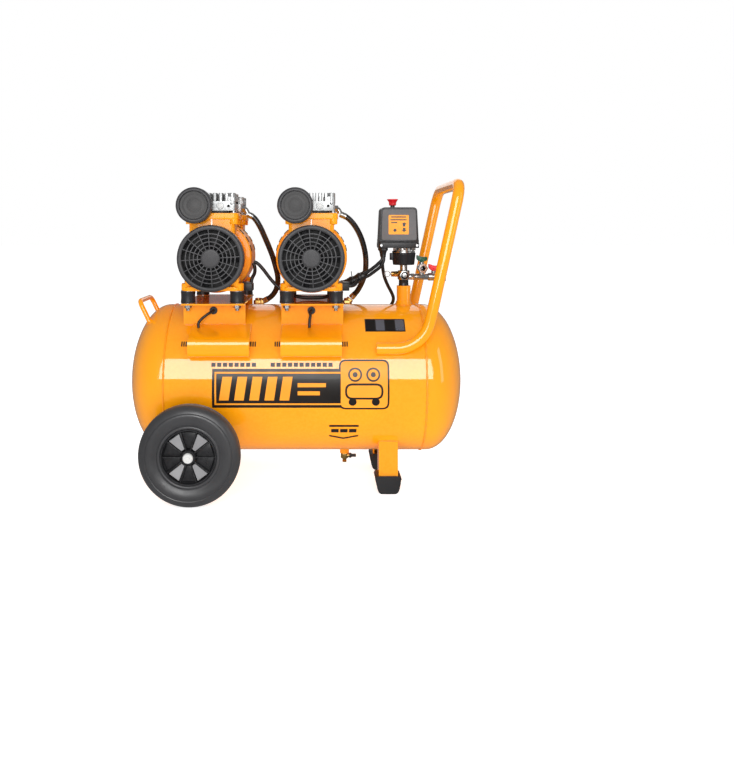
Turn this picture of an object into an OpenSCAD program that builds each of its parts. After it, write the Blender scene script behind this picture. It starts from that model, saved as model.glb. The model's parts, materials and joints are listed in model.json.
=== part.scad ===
// Twin-motor oil-free air compressor on a lying tank with two wheels, two feet and a push handle.
// Millimetres. X runs along the tank, Y across it with the front at -Y, Z up from the floor.

/* [Tank] */
// Outside diameter of the tank
tank_d = 310; // [300:1:372]
// Length of the tank over both heads
tank_len = 702; // [690:1:850]
// Sheet thickness of the tank
tank_wall = 3; // [2:0.5:4]
// Height of the tank's underside above the floor
tank_clear = 68; // [60:1:82]
// Straight edge of each dished head
head_edge = 11.5; // [8:0.5:14]
// Distance from the tank's right end to the feet, the post and the drain
right_end = 351; // [340:1:351]

/* [Pumps] */
// Distance between the two pumps
pump_spacing = 201; // [190:1:241]
// Place of the middle between the pumps along the tank
pump_mid_x = -68.5; // [-80:0.5:-60]
// Height of the shaft above the top of the tank
shaft_rise = 104; // [102:1:125]
// Outside diameter of the motor drum
drum_d = 150; // [140:1:152]
// Outside diameter of a crankcase
crankcase_d = 124; // [120:1:126]
// Half of the length over both crankcases
pump_half = 128; // [126:1:140]
// Half of the length of the motor drum
drum_half = 58; // [52:1:60]
// Bore of a cylinder
bore_d = 62.1; // [56:0.1:66]
// Offset of the eccentric, half the stroke
throw = 8; // [6.7:0.1:8.5]
// Diameter of the motor shaft
shaft_d = 16; // [13:0.5:18]
// Outside diameter of a fan guard
guard_d = 134; // [132:1:145]
// Outside diameter of an air filter
filter_d = 72; // [60:1:74]
// Width of a cylinder head
head_w = 96; // [90:1:104]
// Height of a cylinder head
head_h = 36; // [30:1:44]

/* [Wheels and feet] */
// Outside diameter of a tyre
wheel_d = 200; // [190:1:210]
// Width of a tyre
tyre_w = 42; // [35:1:50]
// Diameter of the rim inside the tyre
rim_d = 108; // [90:1:120]
// Diameter of the wheel bolt
wheel_bolt_d = 16; // [13:0.5:19]
// Place of the wheels along the tank
wheel_x = -205; // [-215:1:-195]
// Width of a leg
leg_w = 39; // [33:1:46]
// Height of a rubber foot
foot_h = 36; // [30:1:43]

/* [Handles] */
// Diameter of the push handle's tube
handle_d = 23; // [19:1:27]
// Height of the top of the push handle above the floor
handle_top = 644; // [600:1:700]
// Lean of the push handle from upright
handle_lean = 12.5; // [10:0.5:15]
// Diameter of the carry handle's rod
rod_d = 10; // [8:0.5:12]

/* [Controls] */
// Width of the switch cover at its foot
switch_w = 84; // [76:1:90]
// Depth of the switch cover
switch_depth = 64; // [56:1:76]
// Height of the switch cover
switch_h = 76; // [64:1:91]
// Diameter of the post pipe
post_d = 21.3; // [18:0.1:24]

/* [Hidden] */
$fn = 64;
small = 24;
fit = 0.05;

tank_r = tank_d / 2;
tank_z = tank_clear + tank_r;
tank_top = tank_z + tank_r;
dish = tank_r / 2;
shell_half = tank_len / 2 - dish - head_edge;
dish_x = tank_len / 2 - dish;

pump_x = [pump_mid_x - pump_spacing / 2, pump_mid_x + pump_spacing / 2];
plate_top = tank_top + 12;
plate_t = 3;
plate_w = 127;
plate_shift = 2;
web_y = 95;
mount_h = 26;
mount_r = 15;
mount_dx = 50;
mount_dy = 110;
stud_r = 4;
base_z = plate_top + mount_h;
base_t = 15;
base_w = 110;
shaft_z = tank_top + shaft_rise;
drum_r = drum_d / 2;
drum_wall = 3;
case_r = crankcase_d / 2;
case_wall = 4;
web_t = 12;
bearing_r = 17;
cyl_y = 94;
bore_r = bore_d / 2;
sleeve_r = bore_r + 3;
neck_w = 92;
neck_d = 68;
neck_top = shaft_z + 91;
flange_w = 108;
flange_d = 78;
flange_t = 12;
valve_t = 5;
head_z = neck_top + valve_t;
head_d = 68;
stator_half = 30;
stator_bore = 38.2;
rotor_r = 37.5;
ecc_r = 13;
ecc_half = 6;
rod_t = 10;
ring_bore = ecc_r + 2 * throw + 0.6;
ring_r = ring_bore + 5.5;
piston_t = 8;
piston_top = neck_top - throw - 1;
fan_from = 134;
fan_to = 146;
guard_front = 152;
guard_r = guard_d / 2;
filter_x = -32;
filter_z = head_z + 10;
filter_back = cyl_y + head_d / 2;
filter_len = 32;
cross_x = 36;
cross_z = head_z + 9;
valve_x = 80;
valve_y = 75;
valve_z = tank_top - 12;
hose_d = 12.5;

cover_x = [-151, 32];
cover_w = 121;
cover_wall = 2.5;
cover_out = 17;
cap_r = 15;
cap_len = 85;

wheel_r = wheel_d / 2;
rim_r = rim_d / 2;
tyre_y = tank_r + 6;
wheel_face = tyre_y + tyre_w;
bolt_r = wheel_bolt_d / 2;
bracket_y = tyre_y - 13;
bracket_t = 4;
bracket_half = 36;
hub_boss = 17;

leg_x = right_end - 161.5;
leg_in = 64;
leg_out = 104;
leg_t = 3;
leg_floor = 14;
foot_top_w = 53;
foot_low_w = 38;
drain_x = right_end - 247.5;
drain_z = tank_clear - 18;

handle_r = handle_d / 2;
handle_over_axis = 80;
handle_low = tank_z + handle_over_axis;
weld = 0.3;
handle_side = sqrt(pow(tank_r + handle_r - weld, 2) - pow(handle_over_axis, 2));
handle_start = 162;
handle_bend_x = 201;
handle_bend_r = 70;
handle_turn = 90 - handle_lean;
top_bend = 38;
rod_side = 60;
rod_foot_x = -(tank_len / 2 - 44);
rod_foot_z = tank_z + 122;
rod_lean = 26;
rod_len = 50;
rod_bend = 14;
rod_sink = 2;

post_x = right_end - 119;
socket_top = tank_top + 41;
manifold_z = tank_top + 64;
drum_low = tank_top + 86;
flange_low = drum_low + 26;
base_low = flange_low + 11;
cover_low = base_low + 11;
cover_high = cover_low + switch_h;
switch_x = post_x - 13;
switch_top_w = switch_w - 8;
knob_x = post_x - 24;
gland_x = post_x - 45;
gland_y = 13;
arm_z = tank_top + 60;
green_x = post_x + 39;
red_x = post_x + 65;
wing_h = 15;

// Each pump's hose, from its elbow to its check valve, in the pump's own X and the height over the tank.
hose_1 = [[62, 0, 196], [76, 1, 188], [88, 3, 170], [98, 7, 148], [107, 13, 126], [115, 21, 104],
    [121, 30, 82], [125, 40, 62], [125, 51, 44], [120, 61, 26], [111, 69, 13], [100, 74, 5], [92, 75, 1]];
hose_2 = [[62, 0, 196], [77, 1, 189], [91, 3, 175], [103, 7, 156], [112, 13, 134], [118, 21, 110],
    [120, 31, 88], [119, 43, 66], [113, 55, 45], [104, 66, 26], [96, 73.5, 15.5], [89, 75, 7.9]];
hose_tilt = [18, 50];

// Each lead as places from the post's foot on top of the tank.
lead_1 = [[-323, -30, 94], [-314, -30, 89], [-303, -30, 77], [-286, -30, 55], [-268, -32, 37],
    [-246, -34, 25], [-220, -36, 18], [-196, -36, 17], [-174, -34, 18], [-159, -31, 23],
    [-148, -29, 32], [-136, -28, 42]];
lead_2 = [[-92, -30, 62], [-80, -27, 67], [-68, -22, 75], [-56, -17, 84], [-48, -14, 93], [-45, -13, 101],
    [-45, -13, 111]];
lead_3 = [[-323, -44, 91], [-320, -46, 82], [-320, -51, 71], [-324, -56, 62], [-326, -58, 56], [-326, -58, 53.1]];
lead_4 = [[-120.8, -58, 44], [-115, -58, 44], [-109, -54, 46], [-105, -49, 50], [-100, -39, 55], [-96, -31, 60]];
loom = [[-136, -28, 42], [-122, -28, 48], [-108, -29, 54], [-92, -30, 62]];
lead_d = 8;
loom_d = 20;

// The mains lead, from its gland to the edge of the coil on the floor.
mains = [[187, 13, 490], [187, 13, 474], [188, 15, 456], [192, 21, 437], [200, 31, 418], [209, 42, 402],
    [215, 54, 388], [214, 69, 375], [206, 85, 362], [193, 101, 349], [178, 115, 334], [163, 127, 321],
    [150, 138, 307], [141, 149, 285], [137, 156, 261], [136, 160, 236], [136, 162, 208], [136, 163, 180],
    [136, 164, 150], [137, 166, 120], [138, 170, 92], [141, 178, 66], [146, 191, 43], [153, 209, 24],
    [162, 231, 11], [171, 254, 5], [180, 276, 4], [188, 297, 4]];
mains_d = 7.5;
coil_at = [237, 320, 0];
coil_mid = 43;
coil_half = 8;

// ---- shapes used by several pieces ----

module along_x(r, x0, x1) translate([x0, 0, 0]) rotate([0, 90, 0]) cylinder(r = r, h = x1 - x0);

module along_y(r, y0, y1) translate([0, y1, 0]) rotate([90, 0, 0]) cylinder(r = r, h = y1 - y0);

module hex(across, h) cylinder(r = across / sqrt(3), h = h, $fn = 6);

module block(w, d, h) translate([-w / 2, -d / 2, 0]) cube([w, d, h]);

module both_ends() {
    children();
    mirror([0, 1, 0]) children();
}

module at_pump(i) translate([pump_x[i], 0, 0]) children();

module tank_space(extra) translate([0, 0, tank_z]) along_x(tank_r + extra, -shell_half, shell_half);

function unit(v) = v / norm(v);
function heading(route, i) = unit(route[min(i + 1, len(route) - 1)] - route[max(i - 1, 0)]);
function side(route, i) = i == 0
    ? unit(cross(heading(route, 0), [0.3, 0.9, 0.2]))
    : let (t = heading(route, i), s = side(route, i - 1)) unit(s - (s * t) * t);

// A round cord swept along a route, one ring of corners at each point.
module cord(route, d, sides = 8) {
    last = len(route) - 1;
    rings = [for (i = [0 : last])
        let (t = heading(route, i), s = side(route, i), u = cross(t, s))
        for (k = [0 : sides - 1])
            route[i] + d / 2 * (cos(360 * k / sides) * s + sin(360 * k / sides) * u)];
    walls = [for (i = [0 : last - 1], k = [0 : sides - 1])
        let (n = (k + 1) % sides)
        [i * sides + k, (i + 1) * sides + k, (i + 1) * sides + n, i * sides + n]];
    first_cap = [for (k = [0 : sides - 1]) k];
    last_cap = [for (k = [sides - 1 : -1 : 0]) last * sides + k];
    polyhedron(rings, concat(walls, [first_cap, last_cap]));
}

// ---- tank ----

module tank_shell() color("orange") difference() {
    translate([0, 0, tank_z]) along_x(tank_r, -shell_half, shell_half);
    translate([0, 0, tank_z]) along_x(tank_r - tank_wall, -shell_half - 1, shell_half + 1);
    for (i = [0, 1]) at_pump(i) translate([valve_x, valve_y, tank_z]) cylinder(r = 11, h = tank_r + 1);
    translate([post_x, 0, tank_z]) cylinder(r = 15, h = tank_r + 1);
    translate([drain_x, 0, tank_z - tank_r - 1]) cylinder(r = 10, h = tank_r);
}

// Half of an ellipse, from the rim to the pole, with the straight edge first.
function dish_line(r, depth) = concat([[r, -head_edge]],
    [for (a = [0 : 5 : 90]) [r * cos(a), depth * sin(a)]]);

module dished_head() rotate_extrude() polygon(concat(dish_line(tank_r, dish),
    [for (a = [90 : -5 : 0]) [(tank_r - tank_wall) * cos(a), (dish - tank_wall) * sin(a)]],
    [[tank_r - tank_wall, -head_edge]]));

module tank_heads() color("orange") for (s = [0, 1])
    mirror([s, 0, 0]) translate([dish_x, 0, tank_z]) rotate([0, 90, 0]) dished_head();

module tank_sockets() color("orange") {
    for (i = [0, 1]) at_pump(i) translate([valve_x, valve_y, valve_z - 17]) difference() {
        cylinder(r = 11, h = 20);
        translate([0, 0, -1]) cylinder(r = 7, h = 22);
    }
    translate([post_x, 0, tank_top - 8]) difference() {
        union() {
            cylinder(r = 15, h = socket_top - tank_top + 8);
            translate([0, 0, 8]) cylinder(r1 = 19, r2 = 15, h = 9);
        }
        translate([0, 0, -1]) cylinder(d = post_d, h = socket_top - tank_top + 10);
    }
    translate([drain_x, 0, tank_clear - 12]) difference() {
        cylinder(r = 10, h = 20);
        translate([0, 0, -1]) cylinder(r = 6, h = 22);
    }
}

module saddle_plates() color("orange") for (i = [0, 1]) at_pump(i) translate([plate_shift, 0, 0])
    difference() {
        union() {
            translate([0, 0, plate_top - plate_t]) block(plate_w, 2 * pump_half, plate_t);
            both_ends() translate([0, -web_y, tank_z]) block(plate_w, plate_t, tank_r + 10);
        }
        tank_space(0);
        translate([0, 0, tank_z - 1]) block(plate_w + 2, 2 * web_y - plate_t, tank_r / 2);
        for (x = [-1, 1], y = [-1, 1]) translate([x * mount_dx - plate_shift, y * mount_dy, plate_top - 10])
            cylinder(r = stud_r, h = 20);
        translate([0, 0, tank_top - 4]) along_y(5, -web_y - 5, -web_y + 5);
    }

function cover_line(t) = [
    [-web_y - plate_t / 2 - t, tank_z + 125 - t],
    [-tank_r - cover_out + 10 + t, tank_z + 103 - t],
    [-tank_r - cover_out + 2 + t, tank_z + 98 - t],
    [-tank_r - cover_out + t, tank_z + 92 - t],
    [-tank_r - cover_out + t, tank_z + 78 + t],
    [-tank_r - cover_out + 4 + t, tank_z + 69 + t],
    [-tank_r - cover_out + 12 + t, tank_z + 65 + t],
    [-tank_r + 24, tank_z + 64 + t]];

module cover_block(w, t) translate([-w / 2, 0, 0]) rotate([90, 0, 90])
    linear_extrude(height = w) polygon(cover_line(t));

module capacitor_covers() color("orange") for (x = cover_x) translate([x, 0, 0]) difference() {
    cover_block(cover_w, 0);
    cover_block(cover_w - 2 * cover_wall, cover_wall);
    tank_space(0);
}

module capacitors() color("dimgray") for (x = cover_x)
    translate([x, -tank_r + 4.5, tank_z + 85]) {
        along_x(cap_r, -cap_len / 2, cap_len / 2);
        for (y = [-6, 6]) translate([0, y, 0]) along_x(2, cap_len / 2, cap_len / 2 + 8);
    }

// ---- wheels, legs and handles ----

module axle_brackets() color("orange") both_ends() translate([wheel_x, 0, 0]) difference() {
    union() {
        translate([0, -bracket_y - bracket_t / 2, wheel_r - 30])
            block(2 * bracket_half, bracket_t, 70);
        for (x = [-1, 1]) translate([x * (bracket_half - 2), -bracket_y / 2 - 30, wheel_r - 30])
            block(4, bracket_y - 60, 70);
    }
    translate([-wheel_x, 0, 0]) tank_space(0);
    translate([0, 0, wheel_r]) along_y(bolt_r, -bracket_y - 10, -bracket_y + 10);
}

module wheel_bolts() color("silver") both_ends() translate([wheel_x, 0, wheel_r]) {
    along_y(bolt_r, -wheel_face, -bracket_y + 8);
    along_y(bolt_r + 6, -bracket_y - bracket_t - 2, -bracket_y - bracket_t);
    translate([0, -bracket_y, 0]) rotate([-90, 0, 0]) hex(24, 10);
}

module axle_caps() color("white") both_ends() translate([wheel_x, 0, wheel_r]) rotate_extrude_y()
    polygon([[0, 0], [bolt_r + 2, 0], [bolt_r + 2, 2], [bolt_r, 4.5], [0, 5.5]]);

// Turns a profile of radius and outward distance about Y, starting at the wheel's outer face.
module rotate_extrude_y() translate([0, -wheel_face, 0]) rotate([90, 0, 0]) rotate_extrude() children();

module tyre() color("dimgray") translate([wheel_x, -wheel_face, wheel_r]) rotate([-90, 0, 0])
    rotate_extrude() polygon([
        [rim_r, 5], [rim_r + 4, 1.5], [rim_r + 10, 3.5], [rim_r + 16, 1], [wheel_r - 24, 0],
        [wheel_r - 14, 2], [wheel_r - 6, 6], [wheel_r - 1.5, 12], [wheel_r, tyre_w / 2],
        [wheel_r - 1.5, tyre_w - 12], [wheel_r - 6, tyre_w - 6], [wheel_r - 14, tyre_w - 2],
        [wheel_r - 24, tyre_w], [rim_r + 4, tyre_w - 1.5], [rim_r, tyre_w - 5]]);

module hub() color("gray") translate([wheel_x, -wheel_face, wheel_r]) rotate([-90, 0, 0]) difference() {
    union() {
        translate([0, 0, 4]) cylinder(r = rim_r, h = tyre_w - 8);
        cylinder(r = hub_boss, h = tyre_w + 2);
    }
    for (z = [3, tyre_w - 13]) translate([0, 0, z]) rotate_extrude()
        translate([hub_boss + 4, 0]) square([rim_r - hub_boss - 10, 11]);
    translate([0, 0, -1]) cylinder(r = bolt_r + fit, h = tyre_w + 5);
}

module front_tyre() tyre();
module rear_tyre() mirror([0, 1, 0]) tyre();
module front_hub() hub();
module rear_hub() mirror([0, 1, 0]) hub();

module legs() color("orange") both_ends() translate([leg_x, 0, 0]) difference() {
    translate([0, -(leg_in + leg_out) / 2, leg_floor]) block(leg_w, leg_out - leg_in, tank_z - 100);
    translate([0, -leg_in + 1 - (leg_out - leg_in) / 2 + leg_t, leg_floor - 1])
        block(leg_w - 2 * leg_t, leg_out - leg_in + 2, tank_z);
    translate([-leg_x, 0, 0]) tank_space(0);
}

module rubber_feet() color("dimgray") both_ends() translate([leg_x, 0, 0]) difference() {
    translate([0, -leg_in + 4, 0]) rotate([90, 0, 0]) linear_extrude(height = leg_out - leg_in + 8)
        polygon([[4 - foot_low_w / 2, 0], [foot_low_w / 2 - 4, 0], [foot_low_w / 2 + 1, foot_h * 0.09],
            [foot_low_w / 2 + 4, foot_h * 0.3], [foot_top_w / 2 - 1, foot_h * 0.7],
            [foot_top_w / 2, foot_h], [-foot_top_w / 2, foot_h], [1 - foot_top_w / 2, foot_h * 0.7],
            [-foot_low_w / 2 - 4, foot_h * 0.3], [-foot_low_w / 2 - 1, foot_h * 0.09]]);
    translate([0, -(leg_in + leg_out) / 2, leg_floor]) block(leg_w, leg_out - leg_in, foot_h);
}

// Points along an arc about a centre, from direction u towards direction v.
function arc(centre, u, v, r, from, to, steps) = [for (i = [0 : steps])
    let (a = from + (to - from) * i / steps)
    centre + r * (cos(a) * u + sin(a) * v)];

function mirrored(route) = [for (i = [len(route) - 1 : -1 : 0]) [route[i][0], -route[i][1], route[i][2]]];

// The push handle's front half: along the tank, up through the bend, leaning, and over to the crossbar.
lean_way = [sin(handle_lean), 0, cos(handle_lean)];
handle_knee = [handle_bend_x + handle_bend_r * sin(handle_turn), -handle_side,
    handle_low + handle_bend_r * (1 - cos(handle_turn))];
handle_rise = (handle_top - handle_r - handle_knee[2]) / cos(handle_lean) - top_bend;
handle_half = concat(
    [[handle_start, -handle_side, handle_low], [handle_start + 15, -handle_side, handle_low]],
    arc([handle_bend_x, -handle_side, handle_low + handle_bend_r], [0, 0, -1], [1, 0, 0],
        handle_bend_r, 0, handle_turn, 9),
    [handle_knee + lean_way * handle_rise * 0.05, handle_knee + lean_way * handle_rise * 0.95],
    arc(handle_knee + lean_way * handle_rise + [0, top_bend, 0], [0, -1, 0], lean_way,
        top_bend, 0, 90, 8),
    [handle_knee + lean_way * (handle_rise + top_bend) + [0, top_bend + 8, 0]]);

module main_handle() color("orange") cord(concat(handle_half, mirrored(handle_half)), handle_d, 20);

rod_way = [-sin(rod_lean), 0, cos(rod_lean)];
rod_foot = [rod_foot_x, -rod_side, rod_foot_z];
rod_half = concat(
    [rod_foot - rod_way * rod_sink, rod_foot + rod_way * (rod_len - rod_bend) / 2],
    arc(rod_foot + rod_way * (rod_len - rod_bend) + [0, rod_bend, 0], [0, -1, 0], rod_way,
        rod_bend, 0, 90, 6),
    [rod_foot + rod_way * rod_len + [0, rod_bend + 6, 0]]);

module carry_handle() color("orange") cord(concat(rod_half, mirrored(rod_half)), rod_d, 12);

// ---- controls ----

module post_pipe() color("dimgray") translate([post_x, 0, 0]) difference() {
    translate([0, 0, tank_top + 10]) cylinder(d = post_d, h = manifold_z - 10 - tank_top - 10);
    translate([0, 0, tank_top]) cylinder(r = 7.5, h = 100);
}

module manifold() color("silver") difference() {
    union() {
        translate([post_x, 0, manifold_z - 10]) cylinder(r = 13, h = 20);
        translate([post_x, 0, manifold_z + 10]) cylinder(r = 8, h = drum_low - manifold_z - 10);
        translate([post_x, -11, manifold_z]) rotate([90, 0, 0]) hex(19, 13);
        translate([post_x, 0, arm_z]) along_x(6.5, 10, red_x - post_x - 12);
        translate([green_x, 0, arm_z]) cylinder(r = 5, h = 12);
    }
    translate([post_x, 0, manifold_z - 11]) cylinder(r = 5, h = 25);
    translate([post_x, -15, manifold_z]) rotate([90, 0, 0]) hex(8, 13);
    translate([post_x, 0, manifold_z + 2]) along_x(4, -20, 0);
}

module switch_base() color("black") translate([switch_x, 0, base_low]) difference() {
    block(switch_w + 2, switch_depth + 2, 11);
    translate([0, 0, 3]) block(switch_w - 8, switch_depth - 8, 12);
    for (y = [-1, 1]) translate([gland_x - switch_x, y * gland_y, -1]) cylinder(r = 6, h = 10);
}

module switch_body(inset) translate([0, switch_depth / 2 - inset, 0]) rotate([90, 0, 0])
    linear_extrude(height = switch_depth - 2 * inset) polygon([
        [-switch_w / 2 + inset, -inset], [switch_w / 2 - inset, -inset],
        [switch_top_w / 2 + 0.6 - inset, switch_h - 6 - inset], [switch_top_w / 2 - 1.5 - inset, switch_h - 2 - inset],
        [switch_top_w / 2 - 6 - inset, switch_h - inset], [-switch_top_w / 2 + 6 + inset, switch_h - inset],
        [-switch_top_w / 2 + 1.5 + inset, switch_h - 2 - inset],
        [-switch_top_w / 2 - 0.6 + inset, switch_h - 6 - inset]]);

module switch_cover() color("dimgray") translate([switch_x, 0, cover_low]) difference() {
    switch_body(0);
    switch_body(2.5);
    translate([knob_x - switch_x, 0, switch_h - 10]) cylinder(r = 5.5, h = 20);
}

module switch_diaphragm() color("silver") translate([post_x, 0, 0]) difference() {
    union() {
        translate([0, 0, drum_low]) cylinder(r1 = 23, r2 = 26, h = flange_low - drum_low);
        translate([0, 0, flange_low]) cylinder(r = 25, h = base_low - flange_low);
        translate([-30, -8, flange_low - 16]) cube([12, 16, 16]);
    }
    translate([0, 0, drum_low - 1]) cylinder(r = 4, h = base_low - drum_low - 3);
}

module switch_knob() color("red") translate([knob_x, 0, 0]) {
    translate([0, 0, cover_high - 14]) cylinder(r = 5, h = 20);
    translate([0, 0, cover_high - 16]) cylinder(r = 9, h = 3);
    translate([0, 0, cover_high + 5]) cylinder(r = 7.5, h = 7);
    translate([0, 0, cover_high + 12]) cylinder(r1 = 7.5, r2 = 12, h = 5);
    translate([0, 0, cover_high + 17]) cylinder(r = 12, h = 1.5);
}

module cable_glands() color("black") for (y = [-1, 1]) translate([gland_x, y * gland_y, 0]) difference() {
    union() {
        translate([0, 0, base_low - 9]) hex(17, 9);
        translate([0, 0, base_low - 20]) cylinder(r1 = 5.5, r2 = 7.5, h = 11);
        translate([0, 0, base_low]) cylinder(r = 6, h = 8);
    }
    translate([0, 0, base_low - 21]) cylinder(r = lead_d / 2 + 0.2, h = 30);
}

module safety_valve() color("goldenrod") translate([post_x, 0, manifold_z + 2]) difference() {
    union() {
        rotate([0, -90, 0]) translate([0, 0, 13]) hex(12, 7);
        along_x(6, -27, -20);
        along_x(4, -13, -8);
    }
    along_x(2.05, -28, -15);
}

module safety_ring() color("silver") translate([post_x, 0, manifold_z + 2]) {
    along_x(2, -30, -15.5, $fn = small);
    translate([-35.4, 0, 0]) rotate([90, 0, 0]) rotate_extrude() translate([6, 0])
        circle(r = 0.9, $fn = small);
}

module outlet_body(x, z) translate([x, 0, z]) difference() {
    union() {
        along_y(8.5, -14, 12);
        translate([0, -14, 0]) rotate([90, 0, 0]) hex(19, 12);
        cylinder(r = 5, h = 13);
    }
    along_y(5.72, -27, -12);
    along_y(4, -13, 10);
    sphere(r = 7.2);
    cylinder(r = 2.05, h = 14);
}

module outlet_valves() color("goldenrod") {
    difference() {
        outlet_body(green_x, arm_z + 19);
        translate([green_x, 0, arm_z]) cylinder(r = 5, h = 12);
    }
    translate([red_x, 0, arm_z]) rotate([0, 0, 90]) outlet_body(0, 0);
}

// A wing lever with its stem and ball, for a valve body at the given place.
module wing(x, z) translate([x, 0, z]) {
    difference() {
        sphere(r = 6.9);
        along_x(4, -9, 9);
    }
    translate([0, 0, 5]) cylinder(r = 2, h = 12, $fn = small);
    translate([0, 0, 13.3]) cylinder(r = 5, h = 5);
    translate([0, 4, 13.3]) rotate([90, 0, 0]) linear_extrude(height = 8) polygon([
        [-11, 6], [-11, wing_h], [-4, wing_h - 2], [0, wing_h - 5], [6, wing_h - 4], [12, wing_h - 4],
        [12.5, 4], [5, 0.2], [-5, 0.2]]);
}

module green_lever() color("darkgreen") wing(green_x, arm_z + 19);
module red_lever() color("red") wing(red_x, arm_z);

module drain_valve() color("goldenrod") translate([drain_x, 0, 0]) difference() {
    union() {
        translate([0, 0, drain_z + 6]) cylinder(r = 6, h = 20);
        translate([0, 0, drain_z - 6]) hex(14, 12);
        translate([0, 0, drain_z - 14]) cylinder(r = 4.5, h = 8);
        translate([0, 0, drain_z]) along_x(4.5, 5, 10);
    }
    translate([0, 0, drain_z - 15]) cylinder(r = 2.5, h = 50);
    translate([0, 0, drain_z]) along_x(2.55, -2, 11);
}

module drain_lever() color("black") translate([drain_x, 0, drain_z]) {
    along_x(2.5, 3, 12, $fn = small);
    along_x(5.5, 10.3, 15);
    translate([13, 0, 0]) rotate([0, 90, 0]) linear_extrude(height = 12)
        polygon([[-5.5, -2.5], [5.5, -2.5], [5.5, 2.5], [-5.5, 2.5]]);
}

module check_valves() color("goldenrod") for (i = [0, 1])
    translate([pump_x[i] + valve_x, valve_y, valve_z]) difference() {
        union() {
            translate([0, 0, -6]) cylinder(r = 7, h = 10);
            translate([0, 0, 3]) hex(19, 12);
            translate([0, 0, 15]) cylinder(r = 7, h = 5);
            translate([0, 0, 9]) rotate([0, 90 - hose_tilt[i], 0]) {
                translate([0, 0, 3]) hex(14, 9);
            }
        }
        translate([0, 0, -7]) cylinder(r = 4, h = 20);
    }

module motor_leads() color("black") translate([post_x, 0, tank_top]) {
    cord(lead_1, lead_d);
    cord(lead_2, lead_d);
    cord(lead_3, lead_d);
    cord(lead_4, lead_d);
    cord(loom, loom_d, 12);
}

module mains_lead() color("black") cord(mains, mains_d);

module mains_coil() color("black") translate(coil_at) rotate_extrude() translate([coil_mid - coil_half, 0])
    square([2 * coil_half, 2 * mains_d]);

module mains_plug() color("black") translate(coil_at + [-8, -coil_mid - 27, 0]) {
    translate([18, 0, 12]) rotate([0, -90, 0]) cylinder(r1 = 6, r2 = 12, h = 30);
    translate([0, 0, 12]) along_x(12, -22, -12);
    for (y = [-1, 1]) translate([-22, 7 * y, 12]) along_x(2.4, -19, 0, $fn = small);
}

// ---- pumps ----

module pump_space(r, y0, y1) translate([0, 0, shaft_z]) along_y(r, y0, y1);

module motor_housing() color("orange") difference() {
    union() {
        pump_space(drum_r, -drum_half, drum_half);
        translate([0, 0, base_z]) block(base_w, 2 * pump_half, base_t);
    }
    pump_space(drum_r - drum_wall, -drum_half - 1, drum_half + 1);
    both_ends() pump_space(case_r, -pump_half - 1, -drum_half);
    for (x = [-1, 1], y = [-1, 1]) translate([x * mount_dx, y * mount_dy, base_z - 1])
        cylinder(r = stud_r, h = base_t + 2);
    for (y = [-1, 1], a = [-80 : 20 : 80]) translate([0, y * (drum_half - 13), shaft_z]) rotate([0, a, 0])
        translate([0, 0, drum_r - 5]) block(15, 5, 10);
}

module motor_housing_1() at_pump(0) motor_housing();
module motor_housing_2() at_pump(1) motor_housing();

module crankcase() difference() {
    union() {
        pump_space(case_r, -pump_half, -drum_half);
        translate([0, -cyl_y, shaft_z]) block(neck_w, neck_d, neck_top - shaft_z);
        translate([0, -cyl_y, neck_top - flange_t]) block(flange_w, flange_d, flange_t);
    }
    pump_space(case_r - case_wall, -pump_half + 4, -drum_half - web_t);
    pump_space(bearing_r, -drum_half - web_t - 1, -drum_half + 1);
    pump_space(bearing_r + 6, -pump_half - 1, -pump_half + 5);
    translate([0, -cyl_y, shaft_z]) cylinder(r = sleeve_r, h = neck_top);
}

module crankcases() color("orange") for (i = [0, 1]) at_pump(i) both_ends() crankcase();

module stator_cores() color("silver") for (i = [0, 1]) at_pump(i) difference() {
    pump_space(drum_r - drum_wall, -stator_half, stator_half);
    pump_space(stator_bore, -stator_half - 1, stator_half + 1);
}

module windings() color("peru") for (i = [0, 1]) at_pump(i) both_ends()
    translate([0, -stator_half - 18, shaft_z]) rotate([-90, 0, 0]) rotate_extrude() polygon([
        [stator_bore + 3, 18], [stator_bore + 5, 3], [stator_bore + 9, 0], [drum_r - 15, 0],
        [drum_r - 10, 3], [drum_r - 8, 18]]);

module bearings() color("silver") for (i = [0, 1]) at_pump(i) both_ends() difference() {
    pump_space(bearing_r, -drum_half - web_t, -drum_half);
    pump_space(shaft_d / 2 + fit, -drum_half - web_t - 1, -drum_half + 1);
}

module rotor(i) color("silver") at_pump(i) {
    pump_space(shaft_d / 2, -fan_to, fan_to);
    pump_space(rotor_r, -stator_half, stator_half);
    for (s = [-1, 1]) translate([-s * throw, 0, 0])
        pump_space(ecc_r, s * cyl_y - ecc_half, s * cyl_y + ecc_half);
}

module rotor_1() rotor(0);
module rotor_2() rotor(1);

module fan() translate([0, -fan_to, shaft_z]) rotate([-90, 0, 0]) difference() {
    union() {
        cylinder(r = 16, h = fan_to - fan_from);
        for (a = [0 : 360 / 7 : 359]) rotate([0, 0, a]) translate([14, 0, (fan_to - fan_from) / 2])
            rotate([35, 0, 0]) translate([0, -8, -1]) cube([42, 16, 2]);
    }
    translate([0, 0, -1]) cylinder(d = shaft_d, h = 20);
}

module fans_1() color("black") at_pump(0) both_ends() fan();
module fans_2() color("black") at_pump(1) both_ends() fan();

module cylinder_sleeves() color("silver") for (i = [0, 1]) at_pump(i) both_ends()
    translate([0, -cyl_y, neck_top - 38]) difference() {
        cylinder(r = sleeve_r, h = 38);
        translate([0, 0, -1]) cylinder(r = bore_r, h = 40);
    }

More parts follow.
